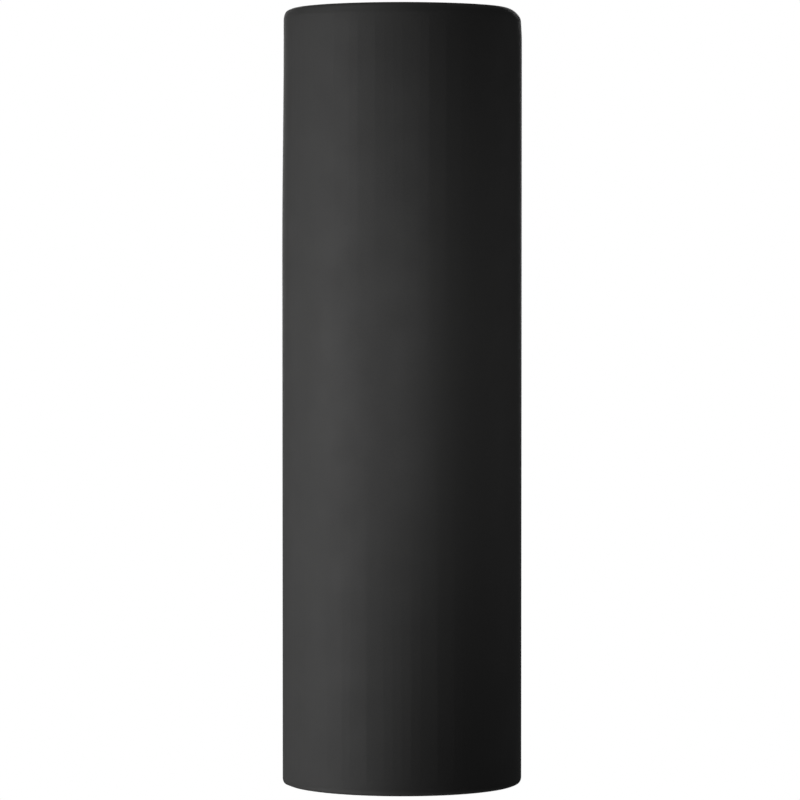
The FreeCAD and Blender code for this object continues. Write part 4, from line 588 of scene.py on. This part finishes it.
# One material for each material slot of the record, and one for the holders' screw shells.
FINISHES = {
    "glaze": matte_black_glaze(),
    "foam": closed_cell_foam(),
    "rubber": moulded_rubber(),
    "zinc": zinc_plate(),
    "white_steel": white_powder_coat(),
    "nickel": nickel_plate(),
    "brass": turned_brass(),
    "nickel_brass": nickel_on_brass(),
    "nylon": black_nylon(),
    "block_plastic": natural_nylon(),
    "porcelain": glazed_porcelain(),
    "lamp_plastic": lamp_housing_plastic(),
    "opal": opal_globe(),
    "black_insulator": fused_glass(),
    "board": emitter_board(),
    "live_sleeve": vinyl_sleeve("black_vinyl_sleeve", "161616", "222222"),
    "neutral_sleeve": vinyl_sleeve("white_vinyl_sleeve", "d8d7d1", "e6e5e0"),
    "earth_sleeve": vinyl_sleeve("green_vinyl_sleeve", "1c6b33", "27803f"),
}
SCREW_SHELL = rolled_screw_shell()

for part in frame["record"]["subparts"]:
    finish = FINISHES[part["material_slot"]]
    if "screw_shell" in part["node"]:
        finish = SCREW_SHELL
    mesh = frame["nodes"][part["node"]].data
    mesh.materials.clear()
    mesh.materials.append(finish)


# -------------------------------------------------------------------------------------------------
# The tube as it came from the kiln
# -------------------------------------------------------------------------------------------------

# The left side leans in, from one height to another. The power keeps that to the far left.
LEAN = 0.9 * MM
LEAN_FROM, LEAN_TO = 85 * MM, 200 * MM
LEAN_POWER = 8

# The upper right corner has slumped, down and inwards.
SLUMP, SLUMP_REACH = 1.4 * MM, 7.5 * MM

# The foot is short in front, from one height down to another.
FOOT_SHORT = 1.1 * MM
SHORT_FROM, SHORT_TO = -160 * MM, -210 * MM

# The other corners are crisper: for each, left or right, up or down, and how far it is pushed out
# from a middle a little way in.
CRISP_CORNERS = ((-1, 1, 0.35 * MM), (-1, -1, 0.6 * MM), (1, -1, 0.3 * MM))
CRISP_INSET, CRISP_REACH = 1.9 * MM, 2.2 * MM

DIAGONAL = math.sqrt(0.5)  # how much of a move at 45 degrees goes each way
SAME_PLACE = 0.001 * MM  # points this close are one
CUT_HEIGHTS = range(-200, 201, 20)  # in millimetres
SHARP_FROM = math.radians(32)


def fired_tube():
    """The ceramic tube, as slightly out of true as firing leaves it: a copy of the plain tube, its
    long walls cut across so that they can bend. It stays inside the plain tube's box."""
    tube = bmesh.new()
    tube.from_mesh(frame["nodes"]["ceramic_tube"].data)
    bmesh.ops.remove_doubles(tube, verts=tube.verts, dist=SAME_PLACE)
    for height in CUT_HEIGHTS:
        whole = tube.verts[:] + tube.edges[:] + tube.faces[:]
        bmesh.ops.bisect_plane(tube, geom=whole, plane_co=(0, 0, height * MM), plane_no=(0, 0, 1))

    for vert in tube.verts:
        x, z = vert.co.x, vert.co.z
        rise = between(0, (z - LEAN_FROM) / (LEAN_TO - LEAN_FROM), 1)
        leftness = max(0, -x) / TUBE_RADIUS
        lean = LEAN * rise * rise * (3 - 2 * rise) * leftness**LEAN_POWER
        slump = SLUMP * near(x - TUBE_RADIUS, z - TUBE_HALF, SLUMP_REACH) * DIAGONAL
        frontness = max(0, (TUBE_AXIS_Y - vert.co.y) / TUBE_RADIUS)
        fall = between(0, (z - SHORT_FROM) / (SHORT_TO - SHORT_FROM), 1)
        vert.co.x += lean - slump
        vert.co.z += FOOT_SHORT * frontness * fall - slump
        for side, end, push in CRISP_CORNERS:
            corner_x = side * (TUBE_RADIUS - CRISP_INSET)
            corner_z = end * (TUBE_HALF - CRISP_INSET)
            out = push * near(x - corner_x, z - corner_z, CRISP_REACH) * DIAGONAL
            vert.co.x += side * out
            vert.co.z += end * out
        vert.co.x = between(cad_low.x, vert.co.x, cad_high.x)
        vert.co.z = between(cad_low.z, vert.co.z, cad_high.z)

    data = mesh_from("fired_tube", tube)
    data.shade_smooth()
    data.set_sharp_from_angle(angle=SHARP_FROM)
    data.materials.append(FINISHES["glaze"])
    piece = set_up("fired_tube", data)
    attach(piece, "tube")
    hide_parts("ceramic_tube")


fired_tube()


# -------------------------------------------------------------------------------------------------
# The soft foam strips on the tube's back edges
# -------------------------------------------------------------------------------------------------

FOAM_EDGE = 0.35 * MM  # the rounding along a cut edge
FOAM_CUTS = 60  # cuts across a strip, so that its sides can wander
PULL_IN = 0.03  # the middle value of how far the sides draw in, as a share of the half width
# The pull varies by two waves, in radians for each metre of height: 66 mm and 27 mm long.
SLOW_WAVE, QUICK_WAVE = 95, 230
QUICK_SHARE, QUICK_START = 0.6, 1.3


def foam_strip(side_name):
    """A die-cut foam strip: square cut ends, and sides that pull in a little, unevenly, as foam
    does when it is cut."""
    low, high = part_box(f"{side_name}_wall_gasket")
    middle, span = (low + high) / 2, high - low
    strip = bmesh.new()
    bmesh.ops.create_cube(strip, size=1.0)
    bmesh.ops.scale(strip, vec=span, verts=strip.verts)
    bmesh.ops.translate(strip, vec=middle, verts=strip.verts)
    bmesh.ops.bevel(
        strip,
        geom=strip.edges,
        offset=FOAM_EDGE,
        segments=3,
        profile=0.5,
        affect="EDGES",
        material=-1,
    )
    long_edges = [e for e in strip.edges if abs(e.verts[0].co.z - e.verts[1].co.z) > span.z / 2]
    bmesh.ops.subdivide_edges(strip, edges=long_edges, cuts=FOAM_CUTS, use_grid_fill=True)
    for vert in strip.verts:
        slow = math.sin(vert.co.z * SLOW_WAVE)
        quick = QUICK_SHARE * math.sin(vert.co.z * QUICK_WAVE + QUICK_START)
        uneven = 1 + (slow + quick) / (1 + QUICK_SHARE)
        vert.co.x += (middle.x - vert.co.x) * PULL_IN * uneven
    data = mesh_from(f"{side_name}_foam_strip", strip)
    data.shade_smooth()
    data.materials.append(FINISHES["foam"])
    piece = set_up(f"{side_name}_foam_strip", data)
    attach(piece, "tube")
    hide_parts(f"{side_name}_wall_gasket")


foam_strip("left")
foam_strip("right")


# -------------------------------------------------------------------------------------------------
# Floor and surroundings
# -------------------------------------------------------------------------------------------------

FLOOR_RADIUS, FLOOR_HEIGHT = 2.4, -0.8
FLOOR_STEPS = 96  # straight edges round its rim
FLOOR_LIGHT = 2.7  # watts for each square metre
FLOOR_LIGHT_ANGLE = math.radians(25)  # how wide it looks from the floor, for soft shadows
SURROUND = 0.0685  # strength of the light that comes evenly from all round


def pale_floor():
    """A round, plain, pale studio floor well below the light."""
    disc = bmesh.new()
    bmesh.ops.create_circle(disc, cap_ends=True, segments=FLOOR_STEPS, radius=FLOOR_RADIUS)
    bmesh.ops.translate(disc, vec=(0, 0, FLOOR_HEIGHT), verts=disc.verts)
    data = mesh_from("floor", disc)
    floor = set_up("floor", data)
    material, tree, place = new_material("pale_studio_floor")
    worn = add(tree, "TexNoise", {"Vector": place, "Scale": every(400), "Detail": 2.0})
    colour = add(tree, "Mix", {"Factor": worn, "A": "f2f1ee", "B": "f6f5f3"}, data_type="RGBA")
    looks = {"Base Color": colour, "Roughness": 0.8}
    add(tree, "OutputMaterial", {"Surface": add(tree, "BsdfPrincipled", looks)})
    data.materials.append(material)

    # The floor has a light of its own and throws none back, so that its paleness doesn't wash out
    # the matte black.
    floor.visible_diffuse = floor.visible_glossy = False
    only_floor = bpy.data.collections.new("floor_only")
    only_floor.objects.link(floor)
    lamp = bpy.data.lights.new("floor_light", "SUN")
    lamp.energy = FLOOR_LIGHT
    lamp.angle = FLOOR_LIGHT_ANGLE
    light = set_up("floor_light", lamp)
    light.light_linking.receiver_collection = only_floor


def studio_air():
    """White behind the object, and an even, dim surround that fills the shade."""
    world = bpy.data.worlds.new("studio")
    world.use_nodes = True
    tree = world.node_tree
    tree.nodes.clear()
    backdrop = add(tree, "Background", {"Color": "ffffff"})
    fill = add(tree, "Background", {"Color": "f7f8fa", "Strength": SURROUND})
    seen = add(tree, "LightPath").outputs["Is Camera Ray"]
    both = add(tree, "MixShader", {0: seen, 1: fill, 2: backdrop})
    add(tree, "OutputWorld", {"Surface": both})
    bpy.context.scene.world = world


pale_floor()
studio_air()
